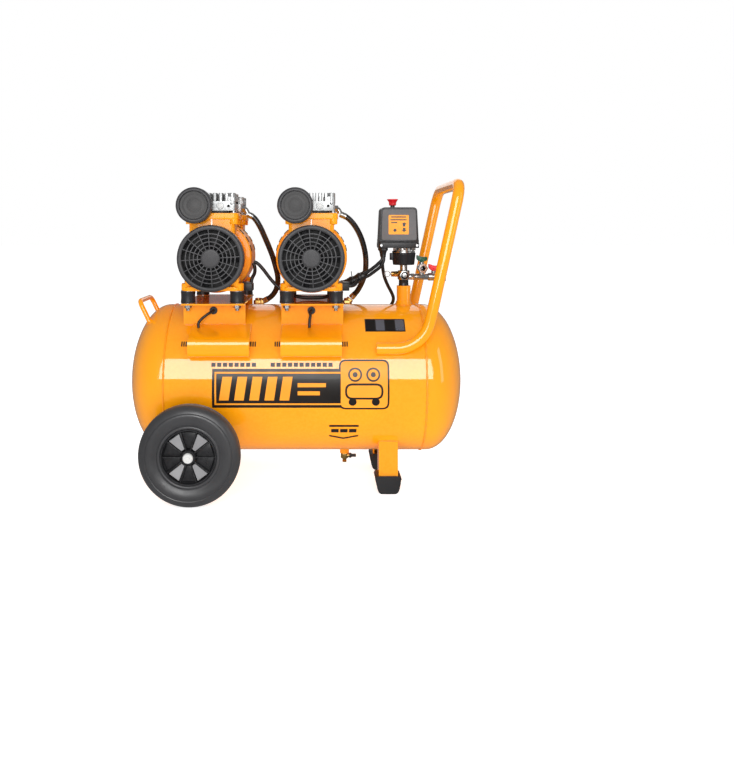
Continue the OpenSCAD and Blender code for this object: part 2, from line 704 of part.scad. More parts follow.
module piston(i, s) color("silver") at_pump(i) translate([0, s * cyl_y, 0]) difference() {
    union() {
        translate([0, 0, shaft_z]) along_y(ring_r, -rod_t / 2, rod_t / 2);
        translate([0, 0, shaft_z + ring_r - 2]) block(16, rod_t, piston_top - shaft_z - ring_r - 2);
        translate([0, 0, piston_top - piston_t]) cylinder(r = bore_r - fit, h = piston_t);
    }
    translate([0, 0, shaft_z]) along_y(ring_bore, -rod_t, rod_t);
}

module piston_front_1() piston(0, -1);
module piston_rear_1() piston(0, 1);
module piston_front_2() piston(1, -1);
module piston_rear_2() piston(1, 1);

module valve_plates() color("black") for (i = [0, 1]) at_pump(i) both_ends()
    translate([0, -cyl_y, neck_top]) block(flange_w - 6, flange_d - 6, valve_t);

module cylinder_head() translate([0, -cyl_y, head_z]) difference() {
    block(head_w, head_d, head_h);
    for (k = [-3 : 3]) translate([k * 12, 0, head_h - 16]) block(5, head_d + 2, 20);
    for (x = [-1, 1], y = [-1, 1]) translate([x * (head_w / 2 - 7), y * (head_d / 2 - 7), head_h - 18])
        cylinder(r = 4.5, h = 20);
    translate([cross_x, head_d / 2 - 8, cross_z - head_z]) along_y(6, 0, 10);
}

module cylinder_heads() color("silver") for (i = [0, 1]) at_pump(i) both_ends() {
    cylinder_head();
    translate([18, 0, head_z + 11]) along_y(6.6, -cyl_y - head_d / 2 - 2, -cyl_y - head_d / 2);
}

module crossover_tubes() color("silver") for (i = [0, 1]) at_pump(i) translate([cross_x, 0, cross_z]) {
    inner = cyl_y - head_d / 2;
    along_y(6, -inner - 8, inner + 8);
    along_x(7, 5, 20);
    translate([22, 0, 0]) rotate([0, 29, 0]) {
        sphere(r = 7.5);
    }
}

module air_filters() color("dimgray") for (i = [0, 1]) at_pump(i) both_ends()
    translate([filter_x, -filter_back, filter_z]) rotate([90, 0, 0]) rotate_extrude() polygon([
        [0, 0], [9, 0], [9, 5.5], [filter_d / 2 - 2, 5.5], [filter_d / 2, 8], [filter_d / 2, filter_len - 8],
        [filter_d / 2 - 2.5, filter_len - 3], [filter_d / 2 - 7, filter_len], [filter_d / 2 - 8.5, filter_len - 1],
        [filter_d / 2 - 9, filter_len - 3], [0, filter_len - 2.2]]);

module ring(outer, inner, h) rotate_extrude() translate([inner, 0]) square([outer - inner, h]);

module guard() translate([0, -guard_front, shaft_z]) rotate([-90, 0, 0]) {
    ring(guard_r, guard_r - 7, 4);
    translate([0, 0, 4]) ring(guard_r, guard_r - 3, guard_front - pump_half - 6);
    translate([0, 0, guard_front - pump_half - 2]) ring(guard_r, guard_r - 9, 2);
    cylinder(r = 19, h = 3);
    for (r = [33, 47]) translate([0, 0, 0.4]) ring(r + 1, r - 1, 2.2);
    for (a = [0 : 30 : 359]) rotate([0, 0, a]) translate([18, -1, 0.2]) cube([guard_r - 24, 2, 2.6]);
}

module fan_guards() color("dimgray") for (i = [0, 1]) at_pump(i) both_ends() guard();

module terminal_boxes() color("black") for (i = [0, 1]) at_pump(i)
    translate([base_w / 2 + 12, -60, base_z - 3]) block(24, 40, 18);

module rubber_mounts() color("dimgray") for (i = [0, 1], x = [-1, 1], y = [-1, 1])
    translate([pump_x[i] + x * mount_dx, y * mount_dy, plate_top]) difference() {
        cylinder(r = mount_r, h = mount_h);
        translate([0, 0, -1]) cylinder(r = stud_r, h = mount_h + 2);
    }

module mount_bolts() color("silver") for (i = [0, 1], x = [-1, 1], y = [-1, 1])
    translate([pump_x[i] + x * mount_dx, y * mount_dy, 0]) {
        translate([0, 0, plate_top - plate_t - 12]) cylinder(r = stud_r, h = base_z + base_t - plate_top + 23);
        translate([0, 0, plate_top - plate_t - 7]) hex(13, 7);
        translate([0, 0, base_z + base_t]) hex(13, 5);
    }

module delivery_hoses() color("black") {
    translate([pump_x[0], 0, tank_top]) cord(hose_1, hose_d, 10);
    translate([pump_x[1], 0, tank_top]) cord(hose_2, hose_d, 10);
}

tank_shell();
tank_heads();
tank_sockets();
saddle_plates();
capacitor_covers();
capacitors();
rubber_mounts();
mount_bolts();
axle_brackets();
wheel_bolts();
axle_caps();
front_tyre();
front_hub();
rear_tyre();
rear_hub();
legs();
rubber_feet();
main_handle();
carry_handle();
post_pipe();
manifold();
switch_base();
switch_cover();
switch_diaphragm();
switch_knob();
cable_glands();
safety_valve();
safety_ring();
outlet_valves();
green_lever();
red_lever();
drain_valve();
drain_lever();
check_valves();
motor_leads();
mains_lead();
mains_coil();
mains_plug();
motor_housing_1();
motor_housing_2();
crankcases();
stator_cores();
windings();
bearings();
rotor_1();
rotor_2();
fans_1();
fans_2();
cylinder_sleeves();
piston_front_1();
piston_rear_1();
piston_front_2();
piston_rear_2();
valve_plates();
cylinder_heads();
crossover_tubes();
air_filters();
fan_guards();
terminal_boxes();
delivery_hoses();
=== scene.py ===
"""Looks of a twin-motor air compressor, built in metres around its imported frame.

Sizes inside the classes are millimetres, as on a workshop drawing. Draft turns them into metres.
"""

import json
import logging
import math
from collections.abc import Callable, Sequence
from dataclasses import dataclass
from enum import Enum

import bmesh
import bpy
from mathutils import Matrix, Vector

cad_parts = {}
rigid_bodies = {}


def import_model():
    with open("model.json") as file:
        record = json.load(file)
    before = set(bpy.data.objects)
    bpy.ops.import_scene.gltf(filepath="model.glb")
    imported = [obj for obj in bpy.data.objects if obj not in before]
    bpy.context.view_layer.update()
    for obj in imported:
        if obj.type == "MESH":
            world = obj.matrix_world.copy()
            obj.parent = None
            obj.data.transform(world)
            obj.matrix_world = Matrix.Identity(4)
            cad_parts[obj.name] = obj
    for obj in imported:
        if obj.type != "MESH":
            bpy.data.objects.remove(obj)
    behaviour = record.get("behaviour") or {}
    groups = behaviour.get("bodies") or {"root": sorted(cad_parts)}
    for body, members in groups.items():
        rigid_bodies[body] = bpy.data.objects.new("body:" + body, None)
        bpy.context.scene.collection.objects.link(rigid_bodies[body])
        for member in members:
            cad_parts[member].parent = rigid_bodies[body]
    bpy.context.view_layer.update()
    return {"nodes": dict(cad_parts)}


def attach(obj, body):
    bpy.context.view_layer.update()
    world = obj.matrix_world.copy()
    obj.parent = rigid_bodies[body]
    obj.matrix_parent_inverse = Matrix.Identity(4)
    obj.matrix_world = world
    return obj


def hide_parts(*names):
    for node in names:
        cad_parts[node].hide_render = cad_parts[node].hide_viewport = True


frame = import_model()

log = logging.getLogger("compressor")

Point = tuple[float, float, float]
Pair = tuple[float, float]
Ripple = Callable[[float, float], float]
Swell = Callable[[float], float]

MM = 0.001
TANK_R = 155.0
TANK_Z = 223.0
TANK_TOP = 378.0
SHELL_HALF = 262.0
DISH_X = 273.5
DISH_DEPTH = 77.5
PUMP_X = (-169.0, 32.0)
COVER_X = (-151.0, 32.0)
WHEEL_X = -205.0
WHEEL_R = 100.0
WHEEL_FACE = 203.0
SHAFT_Z = 482.0
NECK_TOP = 573.0
HEAD_Z = 578.0
CYLINDER_Y = -94.0
POST_X = 232.0
BODY = "compressor"

COAT_ROUGHNESS = 0.05
RELIEF_HEIGHT = 0.0006
MIX_FIRST, MIX_SECOND, MIX_RESULT = 6, 7, 2


class Grain(Enum):
    """Surface relief that a finish carries."""

    PEEL = "peel"
    CAST = "cast"
    MOULDED = "moulded"
    RUBBER = "rubber"
    TURNED = "turned"
    STRANDS = "strands"
    SHEETS = "sheets"


@dataclass(frozen=True)
class Finish:
    """One material: its colour, gloss and relief.

    Args:
        name: Its name, which is a slot of the record where the record has one.
        colour: Base colour, 0 to 255 in display values.
        shade: Second colour that slow noise mixes in.
        rough: Middle roughness.
        swing: How far noise moves the roughness either way.
        metal: Metallic value.
        grain: Kind of relief.
        size: Relief features per metre.
        depth: Strength of the relief.
        coat: Clear coat weight.
        wear: How much lighter an exposed edge gets.
        edge: Colour of a worn edge.
        gloss: Strength of the reflection seen head on.
        coat_index: Index of refraction of the clear coat.
    """

    name: str
    colour: Point
    shade: Point
    rough: float
    swing: float = 0.06
    metal: float = 0.0
    grain: Grain = Grain.PEEL
    size: float = 500.0
    depth: float = 0.05
    coat: float = 0.0
    wear: float = 0.0
    edge: Point = (200.0, 200.0, 200.0)
    gloss: float = 0.5
    coat_index: float = 1.5

    @staticmethod
    def linear(colour: Point) -> tuple[float, float, float, float]:
        """Turns a display colour into linear values.

        Args:
            colour: Red, green and blue from 0 to 255.

        Returns:
            Linear red, green and blue, with full alpha.
        """
        values = []
        for part in colour:
            part /= 255
            values.append(part / 12.92 if part <= 0.04045 else ((part + 0.055) / 1.055) ** 2.4)
        return (values[0], values[1], values[2], 1.0)

    def build(self, label: str) -> bpy.types.Material:
        """Makes the node material.

        Args:
            label: Name of the new material.

        Returns:
            The material.
        """
        material = bpy.data.materials.new(label)
        material.use_nodes = True
        nodes = material.node_tree.nodes
        links = material.node_tree.links
        shader = nodes["Principled BSDF"]
        place = nodes.new("ShaderNodeTexCoord").outputs["Object"]

        def noise(scale: float, detail: float, warp: Point = (1, 1, 1)) -> bpy.types.NodeSocket:
            """Adds a noise texture.

            Args:
                scale: Features per metre.
                detail: Octaves.
                warp: Stretch along each axis.

            Returns:
                The noise, from 0 to 1.
            """
            mapping = nodes.new("ShaderNodeMapping")
            mapping.inputs["Scale"].default_value = warp
            texture = nodes.new("ShaderNodeTexNoise")
            texture.inputs["Scale"].default_value = scale
            texture.inputs["Detail"].default_value = detail
            links.new(place, mapping.inputs["Vector"])
            links.new(mapping.outputs["Vector"], texture.inputs["Vector"])
            return texture.outputs["Fac"]

        def spread(value: bpy.types.NodeSocket, low: float, high: float, to: Pair) -> bpy.types.NodeSocket:
            """Stretches a value to a new range.

            Args:
                value: The value.
                low: Where its range starts.
                high: Where its range ends.
                to: Both ends of the new range.

            Returns:
                The stretched value.
            """
            ramp = nodes.new("ShaderNodeMapRange")
            ramp.inputs["From Min"].default_value = low
            ramp.inputs["From Max"].default_value = high
            ramp.inputs["To Min"].default_value = to[0]
            ramp.inputs["To Max"].default_value = to[1]
            links.new(value, ramp.inputs["Value"])
            return ramp.outputs["Result"]

        def mix(factor: bpy.types.NodeSocket, first: Point | bpy.types.NodeSocket,
                second: Point) -> bpy.types.NodeSocket:
            """Mixes two colours.

            Args:
                factor: 0 for the first, 1 for the second.
                first: A display colour, or a socket that gives one.
                second: The other display colour.

            Returns:
                The mixed colour.
            """
            blend = nodes.new("ShaderNodeMix")
            blend.data_type = "RGBA"
            links.new(factor, blend.inputs["Factor"])
            if isinstance(first, tuple):
                blend.inputs[MIX_FIRST].default_value = self.linear(first)
            else:
                links.new(first, blend.inputs[MIX_FIRST])
            blend.inputs[MIX_SECOND].default_value = self.linear(second)
            return blend.outputs[MIX_RESULT]

        colour = mix(spread(noise(9, 3), 0.35, 0.7, (0, 1)), self.colour, self.shade)
        speck = spread(noise(self.size * 1.7, 2), 0.62, 0.78, (0, 0.35))
        colour = mix(speck, colour, self.shade)
        if self.wear > 0:
            edges = nodes.new("ShaderNodeNewGeometry").outputs["Pointiness"]
            worn = nodes.new("ShaderNodeMath")
            worn.operation = "MULTIPLY"
            links.new(spread(edges, 0.52, 0.6, (0, self.wear)), worn.inputs[0])
            links.new(spread(noise(160, 4), 0.4, 0.6, (0, 1)), worn.inputs[1])
            colour = mix(worn.outputs[0], colour, self.edge)
        links.new(colour, shader.inputs["Base Color"])
        matt = spread(noise(45, 4), 0.3, 0.7, (self.rough - self.swing, self.rough + self.swing))
        links.new(matt, shader.inputs["Roughness"])
        shader.inputs["Metallic"].default_value = self.metal
        shader.inputs["Coat Weight"].default_value = self.coat
        shader.inputs["Specular IOR Level"].default_value = self.gloss
        shader.inputs["Coat Roughness"].default_value = COAT_ROUGHNESS
        shader.inputs["Coat IOR"].default_value = self.coat_index
        bump = nodes.new("ShaderNodeBump")
        bump.inputs["Strength"].default_value = self.depth
        bump.inputs["Distance"].default_value = RELIEF_HEIGHT
        links.new(self.relief(noise, nodes, links, place), bump.inputs["Height"])
        links.new(bump.outputs["Normal"], shader.inputs["Normal"])
        material.diffuse_color = self.linear(self.colour)
        return material

    def relief(self, noise: Callable[..., bpy.types.NodeSocket], nodes: bpy.types.Nodes,
               links: bpy.types.NodeLinks, place: bpy.types.NodeSocket) -> bpy.types.NodeSocket:
        """Adds the nodes of the grain.

        Args:
            noise: Makes a noise texture.
            nodes: The material's nodes.
            links: The material's links.
            place: Coordinates that the grain follows.

        Returns:
            The height of the grain.
        """
        if self.grain is Grain.TURNED:
            return noise(self.size, 2, (1, 0.08, 1))
        if self.grain is Grain.MOULDED:
            cells = nodes.new("ShaderNodeTexVoronoi")
            cells.inputs["Scale"].default_value = self.size
            links.new(place, cells.inputs["Vector"])
            return cells.outputs["Distance"]
        if self.grain in (Grain.STRANDS, Grain.SHEETS):
            bands = nodes.new("ShaderNodeTexWave")
            bands.bands_direction = "Y" if self.grain is Grain.SHEETS else "DIAGONAL"
            bands.inputs["Scale"].default_value = self.size
            bands.inputs["Distortion"].default_value = 0.0 if self.grain is Grain.SHEETS else 2.0
            links.new(place, bands.inputs["Vector"])
            return bands.outputs["Fac"]
        detail = {Grain.PEEL: 1, Grain.CAST: 6, Grain.RUBBER: 3}[self.grain]
        return noise(self.size, detail)


class Finishes:
    """Every material of the compressor, by slot name."""

    LOOKS = (
        Finish("orange_paint", (255, 162, 0), (255, 157, 0), 0.4, 0.04, grain=Grain.PEEL, size=260,
               depth=0.02, coat=1.0, wear=0.12, edge=(255, 190, 50), gloss=0.1, coat_index=1.85),
        Finish("pump_paint", (255, 164, 2), (250, 152, 0), 0.42, 0.08, grain=Grain.CAST, size=420,
               depth=0.1, coat=0.4, wear=0.2, edge=(255, 196, 70), gloss=0.2, coat_index=1.6),
        Finish("capacitor_case", (54, 54, 58), (44, 44, 48), 0.4, grain=Grain.MOULDED, size=900),
        Finish("mount_rubber", (30, 30, 33), (40, 40, 43), 0.42, 0.08, grain=Grain.RUBBER, size=700, depth=0.15),
        Finish("zinc_steel", (196, 198, 200), (170, 172, 172), 0.32, 0.1, 1.0, Grain.TURNED, 900, 0.06,
               wear=0.4, edge=(235, 235, 235)),
        Finish("white_cap", (214, 214, 212), (204, 204, 202), 0.3, 0.05, grain=Grain.MOULDED, size=600, depth=0.03),
        Finish("tyre_rubber", (48, 48, 50), (56, 56, 58), 0.36, 0.07, grain=Grain.RUBBER, size=650, depth=0.18,
               wear=0.2, edge=(92, 92, 96), gloss=0.9),
        Finish("hub_plastic", (25, 25, 27), (33, 33, 35), 0.32, 0.06, grain=Grain.MOULDED, size=1100, depth=0.05,
               wear=0.25, edge=(90, 90, 92)),
        Finish("foot_rubber", (28, 28, 30), (38, 38, 40), 0.5, 0.08, grain=Grain.RUBBER, size=600, depth=0.2),
        Finish("dark_pipe", (62, 63, 67), (48, 49, 52), 0.35, 0.1, 0.7, Grain.CAST, 500, 0.08),
        Finish("nickel_fittings", (206, 206, 204), (178, 178, 176), 0.24, 0.08, 1.0, Grain.TURNED, 700, 0.05,
               wear=0.4, edge=(245, 245, 243)),
        Finish("black_plastic", (24, 24, 26), (33, 33, 35), 0.36, 0.06, grain=Grain.MOULDED, size=1300, depth=0.07,
               wear=0.25, edge=(88, 88, 92)),
        Finish("grey_plastic", (104, 103, 104),
        (96, 95, 96), 0.55, 0.05, grain=Grain.MOULDED, size=1500, depth=0.12),
        Finish("diaphragm_metal", (38, 38, 42), (30, 30, 33), 0.34, 0.08, 0.3, Grain.CAST, 500, 0.08),
        Finish("red_plastic", (242, 44, 54), (228, 30, 42), 0.32, 0.05, grain=Grain.MOULDED, size=900, depth=0.04,
               wear=0.2, edge=(250, 110, 110)),
        Finish("green_plastic", (8, 84, 54), (4, 68, 44), 0.34, 0.05, grain=Grain.MOULDED, size=900, depth=0.04,
               wear=0.2, edge=(90, 160, 130)),
        Finish("brass", (214, 172, 96), (188, 146, 76), 0.28, 0.1, 1.0, Grain.TURNED, 700, 0.05,
               wear=0.4, edge=(245, 214, 150)),
        Finish("cable_jacket", (20, 20, 22), (29, 29, 31), 0.34, 0.06, grain=Grain.RUBBER, size=1200, depth=0.06),
        Finish("lamination_steel", (120, 122, 126), (96, 98, 102), 0.38, 0.1, 1.0, Grain.SHEETS, 900, 0.4),
        Finish("copper_wire", (196, 104, 58), (166, 80, 40), 0.32, 0.1, 1.0, Grain.STRANDS, 420, 0.7),
        Finish("bearing_steel", (188, 190, 194), (160, 162, 166), 0.2, 0.08, 1.0, Grain.TURNED, 900, 0.04),
        Finish("cast_aluminium", (205, 206, 206), (176, 178, 178), 0.42, 0.1, 0.85, Grain.CAST, 520, 0.2,
               wear=0.35, edge=(244, 244, 244)),
        Finish("gasket_black", (22, 22, 23), (32, 32, 33), 0.6, 0.08, grain=Grain.RUBBER, size=900, depth=0.12),
        Finish("guard_plastic", (56, 55, 57), (47, 47, 49), 0.42, 0.06, grain=Grain.MOULDED, size=1200, depth=0.08,
               wear=0.2, edge=(120, 120, 124)),
        Finish("hose_rubber", (22, 22, 24), (32, 32, 34), 0.24, 0.05, grain=Grain.RUBBER, size=900, depth=0.04,
               coat=0.5, gloss=0.5, coat_index=1.7),
        Finish("print_black", (24, 20, 18), (32, 26, 22), 0.34, 0.05, size=600, depth=0.02, coat=0.2),
        Finish("print_orange", (255, 162, 18), (250, 152, 12), 0.4, 0.05, size=600, depth=0.02),
        Finish("plate_grey", (104, 106, 116), (78, 80, 88), 0.3, 0.08, 0.4, size=500, depth=0.02),
        # Lighter grey copy of the hub's black plastic: painted highlight on the lit wedge panels.
        Finish("hub_painted_highlight", (150, 150, 152), (132, 132, 134), 0.4, 0.06, grain=Grain.MOULDED, size=1100, depth=0.05),
        Finish("filter_felt", (72, 71, 71), (60, 60, 61), 0.6, 0.06, grain=Grain.MOULDED, size=900, depth=0.12),
        # Near-black painted shade for the inside of the fan guards, the drum's slots and two holes in each head; the
        # tank's plate also uses it as black print.
        Finish("shade_and_print_black", (10, 10, 11), (14, 14, 15), 0.6, 0.05, grain=Grain.MOULDED, size=700, depth=0.05),
        Finish("weld_orange", (250, 150, 2), (238, 138, 2), 0.36, 0.06, grain=Grain.CAST, size=300, depth=0.25,
               coat=0.3),
    )

    def __init__(self) -> None:
        """Builds one material for each look."""
        self.materials = {look.name: look.build(look.name) for look in self.LOOKS}

    def __getitem__(self, name: str) -> bpy.types.Material:
        """Returns the material called name."""
        return self.materials[name]


FINISHES = Finishes()


def smooth_line(points: Sequence[Point], step: float = 4.0, closed: bool = False) -> list[Vector]:
    """Runs a smooth curve through points.

    Args:
        points: Corners in millimetres.
        step: Distance between the points that come back.
        closed: Whether the last point joins the first.

    Returns:
        Points along the curve.
    """
    corners = [Vector(p) for p in points]
    if closed:
        ring = [corners[-1], *corners, corners[0], corners[1]]
    else:
        ring = [corners[0] * 2 - corners[1], *corners, corners[-1] * 2 - corners[-2]]
    line: list[Vector] = []
    for a, b, c, d in zip(ring, ring[1:], ring[2:], ring[3:]):
        count = max(2, round((c - b).length / step))
        for k in range(count):
            t = k / count
            line.append(
                0.5 * (2 * b + (c - a) * t + (2 * a - 5 * b + 4 * c - d) * t * t + (3 * b - a - 3 * c + d) * t**3)
            )
    if not closed:
        line.append(corners[-1])
    return line


def turns(count: int) -> list[float]:
    """Returns count angles, spread evenly round a full turn."""
    return [math.tau * k / count for k in range(count)]


def ripple(depth: float, waves: int, low: float, high: float) -> Ripple:
    """Makes the ribs of a grip.

    Args:
        depth: Height of a rib.
        waves: Ribs round the piece.
        low: Height at which the ribs start.
        high: Height at which they end.

    Returns:
        A function of angle and height that gives extra radius.
    """

    def extra(angle: float, height: float) -> float:
        """Returns the extra radius at an angle and a height."""
        return depth * math.cos(waves * angle) if low < height < high else 0.0

    return extra


def hexagon_outline(radius: float) -> list[Pair]:
    """Returns six corners at radius from the middle."""
    return [(radius * math.cos(math.radians(60 * k)), radius * math.sin(math.radians(60 * k))) for k in range(6)]


def on_shell(x: float, y: float, way: int = 1) -> Vector:
    """Returns the spot of the tank's skin over (x, y), or under it where way is -1."""
    return Vector((x, y, TANK_Z + way * math.sqrt(TANK_R**2 - y * y)))


def top_bend(corner: Vector, rise: Vector, radius: float, steps: int) -> list[Vector]:
    """Bends a leg into the bar across its top.

    Args:
        corner: Middle of the bend.
        rise: Direction of the leg.
        radius: Radius of the bend.
        steps: Pieces of the bend.

    Returns:
        Points along the bend, without its first.
    """
    return [corner - Vector((0, radius * math.cos(a), 0)) + rise * radius * math.sin(a)
            for a in (math.radians(90 * k / steps) for k in range(1, steps + 1))]


def with_mirror(half: Sequence[Vector]) -> list[Vector]:
    """Returns the front half of a rod and its mirrored rear half."""
    return [*half, *(Vector((p.x, -p.y, p.z)) for p in reversed(half))]


def arc(centre: Pair, radius: float, start: float, end: float, steps: int = 8) -> list[Pair]:
    """Draws a flat arc.

    Args:
        centre: Its middle.
        radius: Its radius.
        start: First angle in degrees.
        end: Last angle in degrees.
        steps: Pieces of the arc.

    Returns:
        Points along the arc.
    """
    angles = [math.radians(start + (end - start) * k / steps) for k in range(steps + 1)]
    return [(centre[0] + radius * math.cos(a), centre[1] + radius * math.sin(a)) for a in angles]


def rounded_outline(corners: Sequence[Pair], radius: float, steps: int = 4) -> list[Pair]:
    """Rounds the corners of a flat outline.

    Args:
        corners: The outline's corners in order.
        radius: Distance from each corner at which its curve starts.
        steps: Pieces of each curve.

    Returns:
        The rounded outline.
    """
    line: list[Pair] = []
    for k, corner in enumerate(corners):
        here = Vector(corner)
        back = Vector(corners[k - 1]) - here
        ahead = Vector(corners[(k + 1) % len(corners)]) - here
        reach = min(radius, back.length * 0.48, ahead.length * 0.48)
        first = here + back.normalized() * reach
        last = here + ahead.normalized() * reach
        for n in range(steps + 1):
            t = n / steps
            spot = first * (1 - t) ** 2 + here * 2 * t * (1 - t) + last * t * t
            line.append((spot.x, spot.y))
    return line


def rectangle(x0: float, x1: float, y0: float, y1: float) -> list[Pair]:
    """Returns the corners of a rectangle, anticlockwise."""
    return [(x0, y0), (x1, y0), (x1, y1), (x0, y1)]


class Axis(Enum):
    """A direction that local Z turns to, with the matrix that turns it. MIRROR_Y also mirrors."""

    X = Matrix(((0, 0, 1), (1, 0, 0), (0, 1, 0)))
    Y = Matrix(((1, 0, 0), (0, 0, 1), (0, -1, 0)))
    BACK_Y = Matrix(((1, 0, 0), (0, 0, -1), (0, 1, 0)))
    MIRROR_Y = Matrix(((1, 0, 0), (0, 0, 1), (0, 1, 0)))
    Z = Matrix(((1, 0, 0), (0, 1, 0), (0, 0, 1)))


class Draft:
    """Faces of one piece, gathered in millimetres and handed over in metres.

    STRIP is the width of the strips in which a film bends round the tank.

    Args:
        shift: How far along X everything moves.
        rear: Whether everything is mirrored to the back.
    """

    STRIP = 4.0

    def __init__(self, shift: float = 0.0, rear: bool = False) -> None:
        """Starts an empty draft."""
        self.mesh = bmesh.new()
        self.shift = shift
        self.rear = rear
        self.paint: list[str] = []

    @staticmethod
    def _matrix(axis: Axis | Matrix) -> Matrix:
        """Returns the matrix that turns local Z to axis."""
        return axis.value if isinstance(axis, Axis) else axis

    def _spot(self, at: Point, turn: Matrix, local: Point) -> bmesh.types.BMVert:
        """Adds a corner at a local place, turned and moved to at."""
        return self.mesh.verts.new(Vector(at) + turn @ Vector(local))

    def _keep(self, faces: Sequence[bmesh.types.BMFace], finish: str) -> None:
        """Paints faces with a finish."""
        if finish not in self.paint:
            self.paint.append(finish)
        index = self.paint.index(finish)
        for face in faces:
            face.material_index = index

    def lathe(self, profile: Sequence[Pair], at: Point, axis: Axis | Matrix = Axis.Z, finish: str = "",
              sides: int = 64, ribs: Ripple | None = None) -> "Draft":
        """Turns a profile of (radius, height) about an axis.

        Args:
            profile: Points from one end to the other.
            at: Where the profile's zero height sits.
            axis: Direction of rising height.
            finish: Finish name.
            sides: Faces around.
            ribs: Extra radius for an angle and a height.

        Returns:
            This draft.
        """
        turn = self._matrix(axis)
        rings = []
        for radius, height in profile:
            if radius < 1e-6:
                rings.append([self._spot(at, turn, (0, 0, height))])
                continue
            ring = []
            for angle in turns(sides):
                r = radius + (ribs(angle, height) if ribs else 0)
                ring.append(self._spot(at, turn, (r * math.cos(angle), r * math.sin(angle), height)))
            rings.append(ring)
        faces = []
        for low, high in zip(rings, rings[1:]):
            for k in range(sides):
                n = (k + 1) % sides
                corners = [low[k % len(low)], low[n % len(low)], high[n % len(high)], high[k % len(high)]]
                corners = list(dict.fromkeys(corners))
                if len(corners) > 2:
                    faces.append(self.mesh.faces.new(corners))
        self._keep(faces, finish)
        return self

    def prism(self, outline: Sequence[Pair], depth: float, at: Point, axis: Axis | Matrix = Axis.Z,
              finish: str = "", bevel: float = 0.0, steps: int = 2) -> "Draft":
        """Pushes a flat outline along an axis, with both rims rounded.

        Args:
            outline: Corners in order.
            depth: Thickness along the axis.
            at: Where the outline's zero sits.
            axis: Direction of the push.
            finish: Finish name.
            bevel: Radius of the rims.
            steps: Pieces of each rounded rim.

        Returns:
            This draft.
        """
        turn = self._matrix(axis)
        low = [self._spot(at, turn, (x, y, 0)) for x, y in outline]
        high = [self._spot(at, turn, (x, y, depth)) for x, y in outline]
        faces = [self.mesh.faces.new(list(reversed(low))), self.mesh.faces.new(high)]
        for k in range(len(low)):
            n = (k + 1) % len(low)
            faces.append(self.mesh.faces.new([low[k], low[n], high[n], high[k]]))
        self._keep(faces, finish)
        if bevel > 0:
            rims = [edge for face in faces[:2] for edge in face.edges]
            bmesh.ops.bevel(self.mesh, geom=rims, offset=bevel, segments=steps, profile=0.5,
                            affect="EDGES", clamp_overlap=True)
        return self

    def block(self, size: Point, at: Point, finish: str = "", bevel: float = 1.0,
              corner: float | None = None) -> "Draft":
        """Adds a box with rounded edges.

        Args:
            size: Its length, depth and height.
            at: Middle of its underside.
            finish: Finish name.
            bevel: Radius of its rims.
            corner: Reach of its upright edges' rounding, or half as much again as bevel.

        Returns:
            This draft.
        """
        x, y, z = size
        outline = rectangle(-x / 2, x / 2, -y / 2, y / 2)
        if bevel > 0:
            outline = rounded_outline(outline, bevel * 1.5 if corner is None else corner, 4)
        return self.prism(outline, z, at, Axis.Z, finish, bevel)

    def hexagon(self, across: float, height: float, at: Point, axis: Axis = Axis.Z, finish: str = "") -> "Draft":
        """Adds a six-sided nut with chamfered rims.

        Args:
            across: Distance between two flats.
            height: Its thickness.
            at: Middle of its lower face.
            axis: Direction of its bore.
            finish: Finish name.

        Returns:
            This draft.
        """
        outline = hexagon_outline(across / math.sqrt(3))
        return self.prism(outline, height, at, axis, finish, min(0.8, height * 0.15), 2)

    def tube(self, line: Sequence[Vector], d: float, finish: str = "", sides: int = 16, closed: bool = False,
             swell: Swell | None = None) -> "Draft":
        """Sweeps a circle along a line.

        Args:
            line: Points of the centre line.
            d: Diameter.
            finish: Finish name.
            sides: Faces around.
            closed: Whether the line closes on itself.
            swell: Extra radius for a distance along the line.

        Returns:
            This draft.
        """
        count = len(line)
        rings = []
        side = None
        run = 0.0
        for k in range(count):
            ahead = line[(k + 1) % count] if closed else line[min(k + 1, count - 1)]
            back = line[k - 1] if closed else line[max(k - 1, 0)]
            way = (ahead - back).normalized()
            if side is None:
                side = way.orthogonal().normalized()
            side = (side - way * side.dot(way)).normalized()
            up = way.cross(side)
            if k:
                run += (line[k] - line[k - 1]).length
            r = d / 2 + (swell(run) if swell else 0)
            rings.append([
                self.mesh.verts.new(line[k] + (side * math.cos(a) + up * math.sin(a)) * r)
                for a in turns(sides)
            ])
        faces = []
        pairs = list(zip(rings, rings[1:])) + ([(rings[-1], rings[0])] if closed else [])
        for low, high in pairs:
            for k in range(sides):
                n = (k + 1) % sides
                faces.append(self.mesh.faces.new([low[k], low[n], high[n], high[k]]))
        if not closed:
            faces.append(self.mesh.faces.new(list(reversed(rings[0]))))
            faces.append(self.mesh.faces.new(rings[-1]))
        self._keep(faces, finish)
        return self

    def bead(self, line: Sequence[Vector], d: float, closed: bool = False) -> "Draft":
        """Adds a weld bead with its scales along a line.

        Args:
            line: Points of the weld.
            d: Its width.
            closed: Whether the line closes on itself.

        Returns:
            This draft.
        """

        def scales(run: float) -> float:
            """Returns the extra radius of the weld's scales at a distance along it."""
            return 0.12 * d * math.sin(run * 1.9)

        return self.tube(line, d, "weld_orange", 10, closed, scales)

    def patch(self, x0: float, x1: float, s0: float, s1: float, finish: str, lift: float = 0.35) -> "Draft":
        """Lays a rectangle on the tank's front.

        Args:
            x0: Left edge.
            x1: Right edge.
            s0: Lower edge, as a height measured round the tank from its middle.
            s1: Upper edge, measured the same way.
            finish: Finish name.
            lift: Height over the tank's skin.

        Returns:
            This draft.
        """
        return self.film(rectangle(x0, x1, s0, s1), finish, lift)

